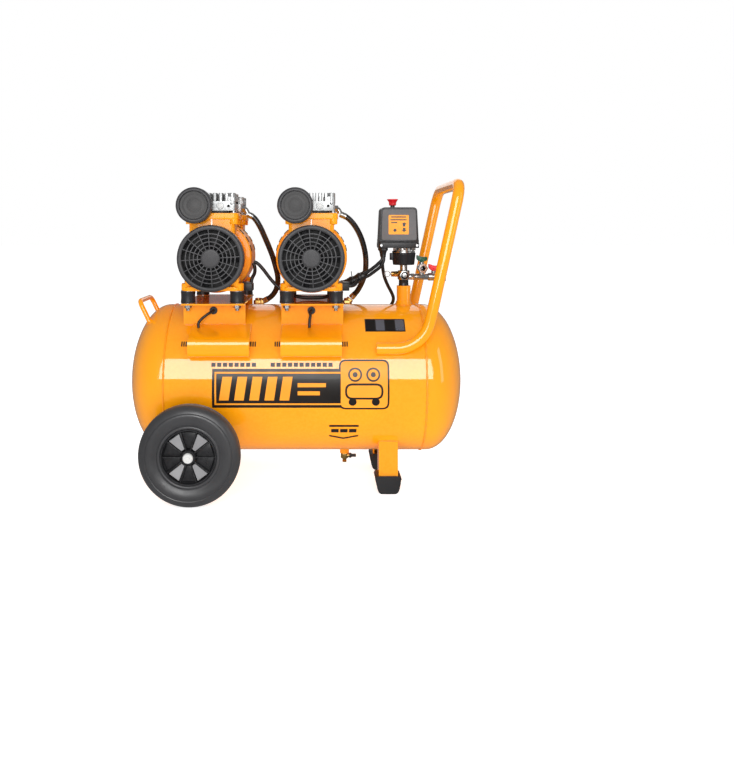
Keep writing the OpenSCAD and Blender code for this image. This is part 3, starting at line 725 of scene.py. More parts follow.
    def film(self, outline: Sequence[Pair], finish: str, lift: float = 0.35) -> "Draft":
        """Lays a flat outline on the tank's front, bent to its curve.

        Args:
            outline: Corners along the tank and round it.
            finish: Finish name.
            lift: Height over the tank's skin.

        Returns:
            This draft.
        """
        corners = [self.mesh.verts.new((x, s, 0)) for x, s in outline]
        face = self.mesh.faces.new(corners)
        geometry = [face, *face.edges, *corners]
        low = min(s for _, s in outline)
        high = max(s for _, s in outline)
        cuts = int((high - low) / self.STRIP)
        for k in range(1, cuts + 1):
            level = low + (high - low) * k / (cuts + 1)
            result = bmesh.ops.bisect_plane(self.mesh, geom=geometry, plane_co=(0, level, 0), plane_no=(0, 1, 0))
            geometry = result["geom"]
        faces = [g for g in geometry if isinstance(g, bmesh.types.BMFace)]
        verts = {v for f in faces for v in f.verts}
        radius = TANK_R + lift
        for vert in verts:
            angle = vert.co.y / TANK_R
            vert.co = Vector((vert.co.x, -radius * math.cos(angle), TANK_Z + radius * math.sin(angle)))
        self._keep(faces, finish)
        return self

    def piece(self, name: str, slot: str, replaces: Sequence[str] = (), body: str = BODY,
              crease: float = 32.0, closed: bool = True) -> bpy.types.Object:
        """Hands the draft over as an object that rides on a body.

        Args:
            name: Name of the object.
            slot: Its slot in the record; not used.
            replaces: CAD nodes it stands for.
            body: Body it rides on.
            crease: Angle over which an edge stays sharp.
            closed: Whether the faces enclose solids, so outward sides can be found.

        Returns:
            The object.
        """
        for vert in self.mesh.verts:
            x, y, z = vert.co
            vert.co = Vector(((x + self.shift) * MM, (-y if self.rear else y) * MM, z * MM))
        if closed:
            bmesh.ops.recalc_face_normals(self.mesh, faces=self.mesh.faces)
        mesh = bpy.data.meshes.new(name)
        self.mesh.to_mesh(mesh)
        self.mesh.free()
        for finish in self.paint:
            mesh.materials.append(FINISHES[finish])
        mesh.shade_smooth()
        mesh.set_sharp_from_angle(angle=math.radians(crease))
        thing = bpy.data.objects.new(name, mesh)
        bpy.context.scene.collection.objects.link(thing)
        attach(thing, body)
        if replaces:
            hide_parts(*replaces)
        return thing


@dataclass(frozen=True)
class Studio:
    """Camera, lights and floor, in metres.

    Args:
        eye: Where the camera stands.
        lens: Its focal length in millimetres.
        shift: Its shift to the side and up, as parts of the frame's width.
        floor_edge: Half of the floor's side.
        floor_glow: Emission that keeps the floor's shadows pale.
        room_light: Strength of the room's light.
        mirrored_light: Strength of the room in glossy pieces.
        seen_light: Strength of the room behind the object.
    """

    eye: Point = (0.039, -1.75, 0.534)
    lens: float = 37.2
    shift: Pair = (0.067, -0.2015)
    floor_edge: float = 30.0
    floor_glow: float = 0.74
    room_light: float = 0.42
    mirrored_light: float = 0.2
    seen_light: float = 1.0

    def build(self) -> None:
        """Sets up the whole studio."""
        self.camera()
        self.floor()
        self.world()
        self.lamp("front", (-0.02, -2.3, 1.12), (-0.02, 0.0, 1.12), (1.5, 1.4), 30.0)
        self.lamp("overhead", (0.1, -0.1, 2.3), (0.05, 0.0, 0.3), (1.6, 1.2), 15.0, mirrored=False)
        self.lamp("side", (1.9, -1.0, 0.9), (0.0, 0.0, 0.3), (0.5, 1.6), 3.0)
        self.lamp("rear", (0.4, 2.2, 1.5), (0.0, 0.0, 0.3), (1.6, 1.6), 7.0)

    def camera(self) -> None:
        """Adds the camera, level, looking along the depth of the room."""
        data = bpy.data.cameras.new("camera")
        data.lens = self.lens
        data.shift_x, data.shift_y = self.shift
        data.clip_end = 50
        camera = bpy.data.objects.new("camera", data)
        camera.location = self.eye
        camera.rotation_euler = (math.radians(90), 0, 0)
        bpy.context.scene.collection.objects.link(camera)
        bpy.context.scene.camera = camera

    def floor(self) -> None:
        """Adds the plain white floor, which glossy pieces don't mirror."""
        mesh = bpy.data.meshes.new("floor")
        edge = self.floor_edge
        corners = [(-edge, -edge, 0), (edge, -edge, 0), (edge, edge, 0), (-edge, edge, 0)]
        mesh.from_pydata(corners, [], [(0, 1, 2, 3)])
        thing = bpy.data.objects.new("floor", mesh)
        thing.visible_glossy = False
        bpy.context.scene.collection.objects.link(thing)
        material = bpy.data.materials.new("floor_white")
        material.use_nodes = True
        shader = material.node_tree.nodes["Principled BSDF"]
        shader.inputs["Base Color"].default_value = (0.85, 0.85, 0.85, 1)
        shader.inputs["Roughness"].default_value = 0.9
        shader.inputs["Specular IOR Level"].default_value = 0.0
        shader.inputs["Emission Color"].default_value = (1, 1, 1, 1)
        shader.inputs["Emission Strength"].default_value = self.floor_glow
        mesh.materials.append(material)

    def world(self) -> None:
        """Lights the room: white to the camera, even on matt pieces, dimmer in glossy ones."""
        world = bpy.data.worlds.new("world")
        world.use_nodes = True
        nodes = world.node_tree.nodes
        links = world.node_tree.links
        ray = nodes.new("ShaderNodeLightPath")
        shown = nodes["Background"]
        shown.inputs["Strength"].default_value = self.room_light
        shown.inputs["Color"].default_value = (1, 1, 1, 1)
        for kind, strength in (("Is Glossy Ray", self.mirrored_light), ("Is Camera Ray", self.seen_light)):
            level = nodes.new("ShaderNodeBackground")
            level.inputs["Strength"].default_value = strength
            level.inputs["Color"].default_value = (1, 1, 1, 1)
            join = nodes.new("ShaderNodeMixShader")
            links.new(ray.outputs[kind], join.inputs[0])
            links.new(shown.outputs[0], join.inputs[1])
            links.new(level.outputs[0], join.inputs[2])
            shown = join
        links.new(shown.outputs[0], nodes["World Output"].inputs["Surface"])
        bpy.context.scene.world = world
        bpy.context.scene.view_settings.view_transform = "Standard"

    def lamp(self, name: str, at: Point, aim: Point, size: Pair, power: float, mirrored: bool = True) -> None:
        """Adds one soft box that points at aim.

        Args:
            name: The lamp's name.
            at: Where it stands.
            aim: Where it points.
            size: Its width and height.
            power: Its strength in watts.
            mirrored: Whether glossy pieces mirror it.
        """
        data = bpy.data.lights.new(name, "AREA")
        data.shape = "RECTANGLE"
        data.size, data.size_y = size
        data.energy = power
        lamp = bpy.data.objects.new(name, data)
        lamp.location = at
        lamp.visible_glossy = mirrored
        lamp.rotation_euler = (Vector(aim) - Vector(at)).to_track_quat("-Z", "Y").to_euler()
        bpy.context.scene.collection.objects.link(lamp)


@dataclass(frozen=True)
class MainsLead:
    """The mains lead behind the tank: its run, its coil and its plug.

    Args:
        diameter: Thickness of the lead.
        run: Its way from the gland to the coil.
        middle: Middle of the coil on the floor.
        outer: Radius of the coil's outer turns.
        inner: Radius of its inner turns.
        first: Angle of the coil's first point.
        step: Angle between two points of the coil.
        steps: Steps of the coil, from its first point to its last.
        tail: The last stretch, from the coil down into the plug.
        plug_at: Middle of the plug.
        pin_gap: Half the distance between its pins.
    """

    diameter: float = 7.5
    run: tuple[Point, ...] = (
        (187, 13, 490), (187, 13, 474), (188, 15, 456), (192, 21, 437), (200, 31, 418), (209, 42, 402),
        (215, 54, 388), (214, 69, 375), (206, 85, 362), (193, 101, 349), (178, 115, 334), (163, 127, 321),
        (150, 138, 307), (141, 149, 285), (137, 156, 261), (136, 160, 236), (136, 162, 208), (136, 163, 180),
        (136, 164, 150), (137, 166, 120), (138, 170, 92), (141, 178, 66), (146, 191, 43), (153, 209, 24),
        (162, 231, 11), (171, 254, 5), (180, 276, 4), (188, 297, 4),
    )
    middle: Pair = (237, 320)
    outer: float = 47.0
    inner: float = 39.4
    first: float = 178.0
    step: float = 18.0
    steps: int = 90
    tail: tuple[Point, ...] = (
        (284, 305, 11.4), (284, 290, 11.5), (281, 275, 11.7), (274, 263, 12), (265, 254.5, 12), (255, 250.5, 12),
        (247, 250, 12), (240, 250, 12),
    )
    plug_at: Point = (229, 250, 12)
    pin_gap: float = 7.0

    @staticmethod
    def share(done: float, start: float, span: float) -> float:
        """Returns how much of a change is over, from 0 at start to 1 a span later."""
        return min(1.0, max(0.0, (done - start) / span))

    def coil(self) -> list[Point]:
        """Returns the coil's points, first low from outside in, then high from inside out."""
        floor = self.diameter / 2
        upper = floor + self.diameter
        points = []
        for k in range(self.steps + 1):
            angle = math.radians(self.first - k * self.step)
            done = k * self.step / 360.0
            inward = self.share(done, 0.8, 0.4) - self.share(done, 2.9, 0.4)
            radius = self.outer + (self.inner - self.outer) * inward
            height = floor + (upper - floor) * self.share(done, 1.75, 0.5)
            x, y = self.middle
            points.append((x + radius * math.cos(angle), y + radius * math.sin(angle), height))
        return points

    def build(self) -> None:
        """Makes the lead, its ties and its plug, and hands the lead over as a cord."""
        plug = self.plug()
        ties = self.ties()
        line = smooth_line([*self.run, *self.coil(), *self.tail], 5.0)
        curve = bpy.data.curves.new("mains_flex", "CURVE")
        curve.dimensions = "3D"
        curve.bevel_depth = self.diameter / 2 * MM
        curve.bevel_resolution = 4
        curve.use_fill_caps = True
        spline = curve.splines.new("POLY")
        spline.points.add(len(line) - 1)
        for point, spot in zip(spline.points, line):
            point.co = (*(spot * MM), 1)
        curve.materials.append(FINISHES["cable_jacket"])
        flex = bpy.data.objects.new("mains_flex", curve)
        bpy.context.scene.collection.objects.link(flex)
        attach(flex, BODY)
        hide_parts("mains_lead", "mains_coil")

    def plug(self) -> bpy.types.Object:
        """Makes the two-pin plug that lies beside the coil."""
        draft = Draft()
        draft.lathe([(0, 17.9), (4.6, 17.9), (6, 17), (5.4, 15.4), (6.6, 13.8), (6.1, 12.2), (7.3, 10.6), (6.9, 9),
                     (8.1, 7.4), (8.2, 2), (9.6, -5), (11.5, -11), (12, -13), (12, -20.5), (11, -22), (0, -22)],
                    self.plug_at, Axis.X, "cable_jacket", 40, ripple(0.35, 6, -math.inf, -8))
        x, y, z = self.plug_at
        for side in (-self.pin_gap, self.pin_gap):
            draft.lathe([(0, -41), (1.7, -41), (2.3, -40), (2.4, -38.5), (2.4, -21.5), (0, -21.5)],
                        (x, y + side, z), Axis.X, "nickel_fittings", 20)
            draft.lathe([(3.1, -22), (3.1, -23.2), (2.4, -23.6), (0, -23.6)], (x, y + side, z), Axis.X,
                        "cable_jacket", 20)
        return draft.piece("mains_plug_body", "cable_jacket", ["mains_plug"])

    def ties(self) -> bpy.types.Object:
        """Makes the two ties that hold the coil."""
        draft = Draft()
        band = rounded_outline(rectangle(-8.6, 8.6, -6.7, 8.2), 3.5, 4)
        reach = (self.outer + self.inner) / 2
        for angle in (60, 240):
            a = math.radians(angle)
            out = Vector((math.cos(a), math.sin(a), 0))
            middle = Vector((*self.middle, self.diameter)) + out * reach
            loop = [middle + out * flat + Vector((0, 0, height)) for flat, height in band]
            draft.tube(loop, 1.6, "black_plastic", 8, closed=True)
        return draft.piece("coil_ties", "black_plastic")


@dataclass(frozen=True)
class Tank:
    """The pressure vessel with its seams, sockets, feet and handles.

    Args:
        saddle_y: Distance of a saddle plate's wall from the middle.
        cover: Side view of a capacitor cover, as depth and height.
        cover_length: Length of a cover along the tank.
        foot_half: Right half of a rubber foot's outline.
        foot_x: Place of the feet along the tank.
        foot_y: Distance of a foot's middle from the tank's middle.
        foot_depth: Thickness of a foot from front to back.
        leg_x: Both edges of a leg's front along the tank.
        leg_y: Distance of a leg's outer face from the middle.
        bracket_x: Both faces of the axle brackets along the tank.
        handle_x: Where the push handle's tube ends, runs level and starts its lower bend, along the tank.
        handle_y: Distance of the push handle's tubes from the middle.
        handle_low: Height of its lower ends.
        handle_top: Height of its top.
        handle_d: Its diameter.
        handle_bend: Radius of its lower bends.
        handle_corner: Radius of its upper bends.
        handle_lean: Angle of its tubes from upright, in degrees.
        carry_foot: Where the carry handle's front leg meets the head.
        carry_d: Its diameter.
        carry_corner: Radius of its bends.
        carry_lean: Angle of its legs from upright, in degrees.
        sockets: Place, depth, weld radius and side (1 on top, -1 below) of each socket.
        band: Left, right, lower and upper edge of the printed band.
        drawing: Middle of the printed drawing, along the tank and round it.
        lifts: Heights of the printed films over the skin, from the lowest to the highest.
        head_weld: Width of the weld beads round the heads.
        leg_weld: Width of those on the legs.
        rod_weld: Width of those on the handles and the saddle plates.
        ring_weld: Width of those round the sockets and on the axle brackets.
    """

    saddle_y: float = 95
    cover: tuple[Pair, ...] = (
        (-97, 347), (-162, 326), (-170, 321), (-172, 315), (-172, 301), (-168, 292), (-160, 288), (-146, 286.5),
        (-131, 287), (-128, 300), (-98, 340),
    )
    cover_length: float = 121
    foot_half: tuple[Pair, ...] = ((15, 0), (20, 3.2), (23, 10.8), (25.5, 25.2), (26.5, 36))
    foot_x: float = 189.5
    foot_y: float = 84
    foot_depth: float = 48
    leg_x: Pair = (170, 209)
    leg_y: float = 104
    bracket_x: Pair = (-241, -169)
    handle_x: Point = (162, 176, 201)
    handle_y: float = 145.7
    handle_low: float = 303.0
    handle_top: float = 644
    handle_d: float = 23
    handle_bend: float = 70.0
    handle_corner: float = 38
    handle_lean: float = 12.5
    carry_foot: Point = (-307, -60, 345)
    carry_d: float = 10
    carry_corner: float = 14
    carry_lean: float = 26
    sockets: tuple[tuple[float, float, float, int], ...] = (
        (POST_X, 0, 18.6, 1), (PUMP_X[0] + 80, 75, 12, 1), (PUMP_X[1] + 80, 75, 12, 1), (103.5, 0, 11, -1),
    )
    band: tuple[float, float, float, float] = (-165.0, 98.0, -37.5, 40.5)
    drawing: Pair = (137, 9)
    lifts: tuple[float, ...] = (0.3, 0.55, 0.8, 1.05, 1.3)
    head_weld: float = 4.2
    leg_weld: float = 3.4
    rod_weld: float = 3.2
    ring_weld: float = 3.0

    def build(self) -> None:
        """Makes every piece of the tank."""
        self.heads()
        self.seams()
        self.saddle_trim()
        self.covers()
        self.feet()
        self.push_handle()
        self.carry_handle()
        self.socket_welds()
        self.decals()

    def heads(self) -> None:
        """Makes the two dished ends."""
        draft = Draft()
        for way in (-1, 1):
            outside = [(TANK_R, SHELL_HALF), (TANK_R, DISH_X)]
            outside += [(TANK_R * math.cos(a), DISH_X + DISH_DEPTH * math.sin(a))
                        for a in (math.radians(3 * k) for k in range(1, 30))]
            outside += [(0, DISH_X + DISH_DEPTH)]
            draft.lathe([(r, way * h) for r, h in outside], (0, 0, TANK_Z), Axis.X, "orange_paint", 128)
        draft.piece("dished_ends", "orange_paint", ["tank_heads"])

    def seams(self) -> None:
        """Makes the weld seams of both heads."""
        draft = Draft()
        radius = TANK_R - 0.6
        for x in (-SHELL_HALF, SHELL_HALF):
            ring = [Vector((x, radius * math.cos(a), TANK_Z + radius * math.sin(a))) for a in turns(240)]
            draft.bead(ring, self.head_weld, closed=True)
        draft.piece("head_seams", "orange_paint")

    def saddle_trim(self) -> None:
        """Makes the plates' weld runs, and the grommets with the capacitors' tails."""
        draft = Draft()
        for x in PUMP_X:
            for y in (-self.saddle_y - 1.6, self.saddle_y + 1.6):
                draft.bead([on_shell(x + 2 + k * 4, y) for k in range(-15, 16)], self.rod_weld)
        draft.piece("saddle_welds", "orange_paint")
        rubber = Draft()
        for x, foot in zip(PUMP_X, (-28, -4)):
            rubber.lathe([(0, -4.2), (6.4, -4.2), (7.8, -3.2), (8.2, -1.6), (6, -1), (6, 1), (8.2, 1.6), (7.8, 3.2),
                          (0, 3.2)], (x, -self.saddle_y, 374), Axis.BACK_Y, "cable_jacket", 32)
            line = smooth_line([(x, -92, 374), (x, -100, 374), (x - 4, -106, 371.5), (x + foot * 0.45, -110, 366),
                                (x + foot * 0.8, -113, 358), (x + foot, -115.5, 350), (x + foot, -117, 341)], 2)
            rubber.tube(line, 5.6, "cable_jacket", 14)
        rubber.piece("capacitor_tails", "cable_jacket")

    def covers(self) -> None:
        """Makes the two pressed capacitor covers with rounded corners."""
        profile = rounded_outline(self.cover, 9, 5)
        draft = Draft()
        for x in COVER_X:
            left = x - self.cover_length / 2
            draft.prism(profile, self.cover_length, (left, 0, 0), Axis.X, "orange_paint", 5.0, 4)
        draft.piece("pressed_covers", "orange_paint", ["capacitor_covers"], crease=50)

    def feet(self) -> None:
        """Makes the rubber feet and the legs' weld runs."""
        draft = Draft()
        half = list(self.foot_half)
        outline = rounded_outline(half + [(-x, z) for x, z in reversed(half)], 3.5, 4)
        lip = rounded_outline(rectangle(-26.4, 26.4, -24.1, 24.1), 3, 3)
        for side in (-1, 1):
            middle = self.foot_y * side
            back = middle + self.foot_depth / 2
            draft.prism(outline, self.foot_depth, (self.foot_x, back, 0), Axis.BACK_Y, "foot_rubber", 2.5, 3)
            ring = smooth_line([(self.foot_x + x, middle + y, 30.5) for x, y in lip], 4, closed=True)
            draft.tube(ring, 1.2, "foot_rubber", 8, closed=True)
        draft.piece("moulded_feet", "foot_rubber", ["rubber_feet"])
        welds = Draft()
        for side in (-1, 1):
            for x in self.leg_x:
                welds.bead([on_shell(x, side * y, -1) for y in range(65, 104, 3)], self.leg_weld)
            welds.bead([on_shell(x, side * self.leg_y, -1) for x in range(170, 210, 3)], self.leg_weld)
        for side in (-1, 1):
            for x in self.bracket_x:
                welds.bead([on_shell(x, side * y, -1) for y in range(98, 142, 3)], self.ring_weld)
        welds.piece("leg_welds", "orange_paint")

    def push_handle(self) -> None:
        """Makes the push handle as one smooth bent tube, with its weld runs."""
        lean = math.radians(self.handle_lean)
        turn = math.radians(90 - self.handle_lean)
        rise = Vector((math.sin(lean), 0, math.cos(lean)))
        side, low, bend, corner_r = self.handle_y, self.handle_low, self.handle_bend, self.handle_corner
        end_x, level_x, bend_x = self.handle_x
        half = [Vector((end_x, -side, low)), Vector((level_x, -side, low))]
        half += [Vector((bend_x + bend * math.sin(a), -side, low + bend * (1 - math.cos(a))))
                 for a in (turn * k / 14 for k in range(15))]
        knee = half[-1]
        reach = (self.handle_top - self.handle_d / 2 - knee.z) / math.cos(lean) - corner_r
        half += [knee + rise * reach * k / 10 for k in range(1, 11)]
        half += top_bend(knee + rise * reach + Vector((0, corner_r, 0)), rise, corner_r, 12)
        draft = Draft()
        draft.tube(with_mirror(half), self.handle_d, "orange_paint", 32)
        for way in (-1, 1):
            for z in (-7, 7):
                run = [Vector((end_x + 1 + 4 * k, way * (side - 8.5), low + z - 1)) for k in range(12)]
                draft.bead(run, self.rod_weld)
        draft.piece("push_handle", "orange_paint", ["main_handle"])

    def carry_handle(self) -> None:
        """Makes the carry handle as one smooth bent rod, with the weld rings round its feet."""
        lean = math.radians(self.carry_lean)
        rise = Vector((-math.sin(lean), 0, math.cos(lean)))
        foot = Vector(self.carry_foot)
        half = [foot - rise * 2 + rise * 38 * k / 6 for k in range(7)]
        half += top_bend(foot + rise * 36 + Vector((0, self.carry_corner, 0)), rise, self.carry_corner, 8)
        draft = Draft()
        draft.tube(with_mirror(half), self.carry_d, "orange_paint", 24)
        ring = [foot + Vector((6.2 * math.cos(a), 6.2 * math.sin(a), 2.52 * math.cos(a) - 1)) for a in turns(24)]
        for way in (1, -1):
            draft.bead([Vector((p.x, way * p.y, p.z)) for p in ring], self.rod_weld, closed=True)
        draft.piece("carry_rod", "orange_paint", ["carry_handle"])

    def socket_welds(self) -> None:
        """Makes the weld rings round the sockets."""
        draft = Draft()
        for x, y, radius, way in self.sockets:
            ring = [on_shell(x + radius * math.cos(a), y + radius * math.sin(a), way) for a in turns(60)]
            draft.bead(ring, self.ring_weld, closed=True)
        draft.piece("socket_welds", "orange_paint")

    def decals(self) -> None:
        """Makes the printed films: a framed band with plain shapes, a plate and two small marks."""
        draft = Draft()
        x0, x1, s0, s1 = self.band
        ground, ink = self.lifts[:2]
        draft.patch(x0, x1, s0, s1, "print_black", ground)
        left, right, bottom, top = x0 + 5, x1 - 2, s0 + 6, s1 - 6
        frame_w = 3.4
        for box in ((left, right, top - frame_w, top), (left, right, bottom, bottom + frame_w),
                    (left, left + frame_w, bottom, top)):
            draft.patch(*box, "print_orange", ink)
        wide, slant, pitch, margin = 19, 7, 30, 15.5
        for k in range(5):
            x = x0 + 14 + k * pitch
            bar = [(x, s0 + margin), (x + wide, s0 + margin), (x + wide + slant, s1 - margin),
                   (x + slant, s1 - margin)]
            draft.film(bar, "print_orange", ink)
        for k, dash in enumerate((44, 56)):
            draft.patch(x0 + 170, x0 + 170 + dash, s0 + 26 + k * 16, s0 + 34 + k * 16, "print_orange", ink)
        for start, count in ((x0 - 2, 8), (x0 + 116, 11)):
            for k in range(count):
                draft.patch(start + k * 11.5, start + k * 11.5 + 8.5, s1 + 4, s1 + 12, "print_black", ground)
        self.pictogram(draft)
        draft.patch(142, 224, 121, 157, "print_black", 0.4)
        for k in range(4):
            finish = "plate_grey" if k % 2 else "shade_and_print_black"
            draft.patch(144 + k * 20, 162 + k * 20, 123.5, 154.5, finish, 0.7)
        draft.film([(68, -83), (127, -83), (127, -78), (68, -78)], "print_black")
        draft.film([(68, -111.5), (97, -121), (127, -111.5), (127, -107), (97, -116), (68, -107)], "print_black")
        for x in (72, 90, 108):
            draft.film([(x, -99), (x + 15, -99), (x + 15, -89), (x, -89)], "print_black")
        for x in (-224, -85, -36, 100):
            for n in range(3):
                draft.patch(x - 6 + n * 4.4, x - 3.4 + n * 4.4, 86, 97, "print_black")
        draft.piece("printed_films", "black_plastic", closed=False)

    def pictogram(self, draft: Draft) -> None:
        """Prints a plain drawing of a tank on wheels with two round motors.

        Args:
            draft: Where the film goes.
        """
        x, s = self.drawing
        first, second, third, fourth, fifth = self.lifts
        layers = ((50, -50, 50, 14, "print_black", first), (46.5, -46.5, 46.5, 11, "print_orange", second),
                  (38, -29, 3, 15, "print_black", third), (34, -25, -1, 11, "print_orange", fourth))
        for half, low, high, corner, finish, lift in layers:
            draft.film(rounded_outline(rectangle(x - half, x + half, s + low, s + high), corner, 6), finish, lift)
        discs = ((14, "print_black", third), (10.4, "print_orange", fourth), (5, "print_black", fifth))
        for way in (-1, 1):
            for radius, finish, lift in discs:
                draft.film(arc((x + 18 * way, s + 20), radius, 0, 345, 22), finish, lift)
            draft.film(arc((x + 23 * way, s - 34), 8, 0, 340, 16), "print_black", third)


@dataclass(frozen=True)
class Wheel:
    """One wheel: a solid tyre on a moulded hub.

    Args:
        rear: Whether it is the wheel at the back.
        width: Thickness of the tyre.
        outside: Outer half of the tyre's section, as radius and depth.
        tread: Half of its running face.
        lit_panels: Angles of the hub's panels that are painted a lighter grey as a highlight.
    """

    rear: bool
    width: float = 42
    outside: tuple[Pair, ...] = (
        (54, 6), (55, 3.2), (57, 1.6), (59, 1.4), (60.5, 2.4), (62, 4.6), (64, 4.4), (67, 3), (71, 1.5), (76, 0.5),
        (80, 0.3), (83, 0.6), (84.2, 1.7), (85.4, 1.2), (89, 2.6), (93, 5.2), (96, 8.4), (98.4, 12),
    )
    tread: tuple[Pair, ...] = (
        (99.4, 14.5), (99.4, 15.4), (97.9, 15.8), (97.9, 16.8), (99.7, 17.2), (99.9, 19.6), (98.3, 20), (98.3, 21),
    )
    lit_panels: tuple[int, ...] = (54, 126, 234, 306)

    @property
    def body(self) -> str:
        """Name of the body that turns."""
        return "rear_wheel" if self.rear else "front_wheel"

    def build(self) -> None:
        """Makes the tyre, the hub and the cap."""
        side = "rear" if self.rear else "front"
        at = (WHEEL_X, -WHEEL_FACE, WHEEL_R)
        tyre = Draft(rear=self.rear)
        half = [*self.outside, *self.tread]
        section = half + [(r, self.width - y) for r, y in reversed(half)] + [self.outside[0]]
        tyre.lathe(section, at, Axis.Y, "tyre_rubber", 128)
        tyre.piece(f"{side}_tyre_skin", "tyre_rubber", [f"{side}_tyre"], self.body, crease=40)
        self.hub(side, at)
        cap = Draft(rear=self.rear)
        cap.lathe([(9.9, 0.2), (10, -1.6), (9.4, -3.6), (8, -4.9), (5.6, -5.3), (5.2, -4.9), (4.4, -4.9), (4, -5.4),
                   (0, -5.5)], at, Axis.Y, "white_cap", 48)
        cap.piece(f"{side}_axle_cap", "white_cap", ["axle_caps"], closed=False)

    def hub(self, side: str, at: Point) -> None:
        """Makes the hub with its rim, ten ribs and ten wedge panels, four of which carry a painted highlight in
        lighter grey.

        Args:
            side: Name of the wheel's side.
            at: Middle of the wheel's outer face.
        """
        hub = Draft(rear=self.rear)
        hub.lathe([(54, 5), (54.2, 3), (53.4, 2.4), (51.8, 2.6), (51, 4), (50.6, 9), (47, 12.6), (16, 12.6),
                   (15, 10), (13.6, 1.6), (12.6, 0.6), (8.1, 0.5), (8.1, 43), (16, 43), (16, 30), (47, 30),
                   (50.6, 33), (51, 38), (53.6, 39.4), (54, 37), (54, 5)], at, Axis.Y, "hub_plastic", 96)
        for k in range(10):
            middle = 18 + 36 * k
            lit = middle in self.lit_panels
            edge = math.radians(middle + 18)
            way = Vector((math.cos(edge), 0, math.sin(edge)))
            across = Vector((-math.sin(edge), 0, math.cos(edge)))
            loop = [way * r + across * w for r, w in ((13.5, 0.9), (50.6, 1.1), (50.6, -1.1), (13.5, -0.9))]
            hub.prism([(p.x, -p.z) for p in loop], 8.4, (at[0], at[1] + 4.6, at[2]), Axis.Y, "hub_plastic", 0.45, 2)
            half = 14.6 if lit else 16.4
            top = 5.6 if lit else 9.4
            outline = []
            for r, w in ((17.5, -half * 0.86), (49.2, -half), (49.2, half), (17.5, half * 0.86)):
                a = math.radians(middle + w)
                outline.append((r * math.cos(a), -r * math.sin(a)))
            # The lit panels take the lighter grey finish, a painted highlight; the others keep the hub's black.
            hub.prism(rounded_outline(outline, 1.2, 3), 14 - top, (at[0], at[1] + top, at[2]), Axis.Y,
                      "hub_painted_highlight" if lit else "hub_plastic", 0.6, 2)
        hub.piece(f"{side}_hub_moulding", "hub_plastic", [f"{side}_hub"], self.body, crease=38)


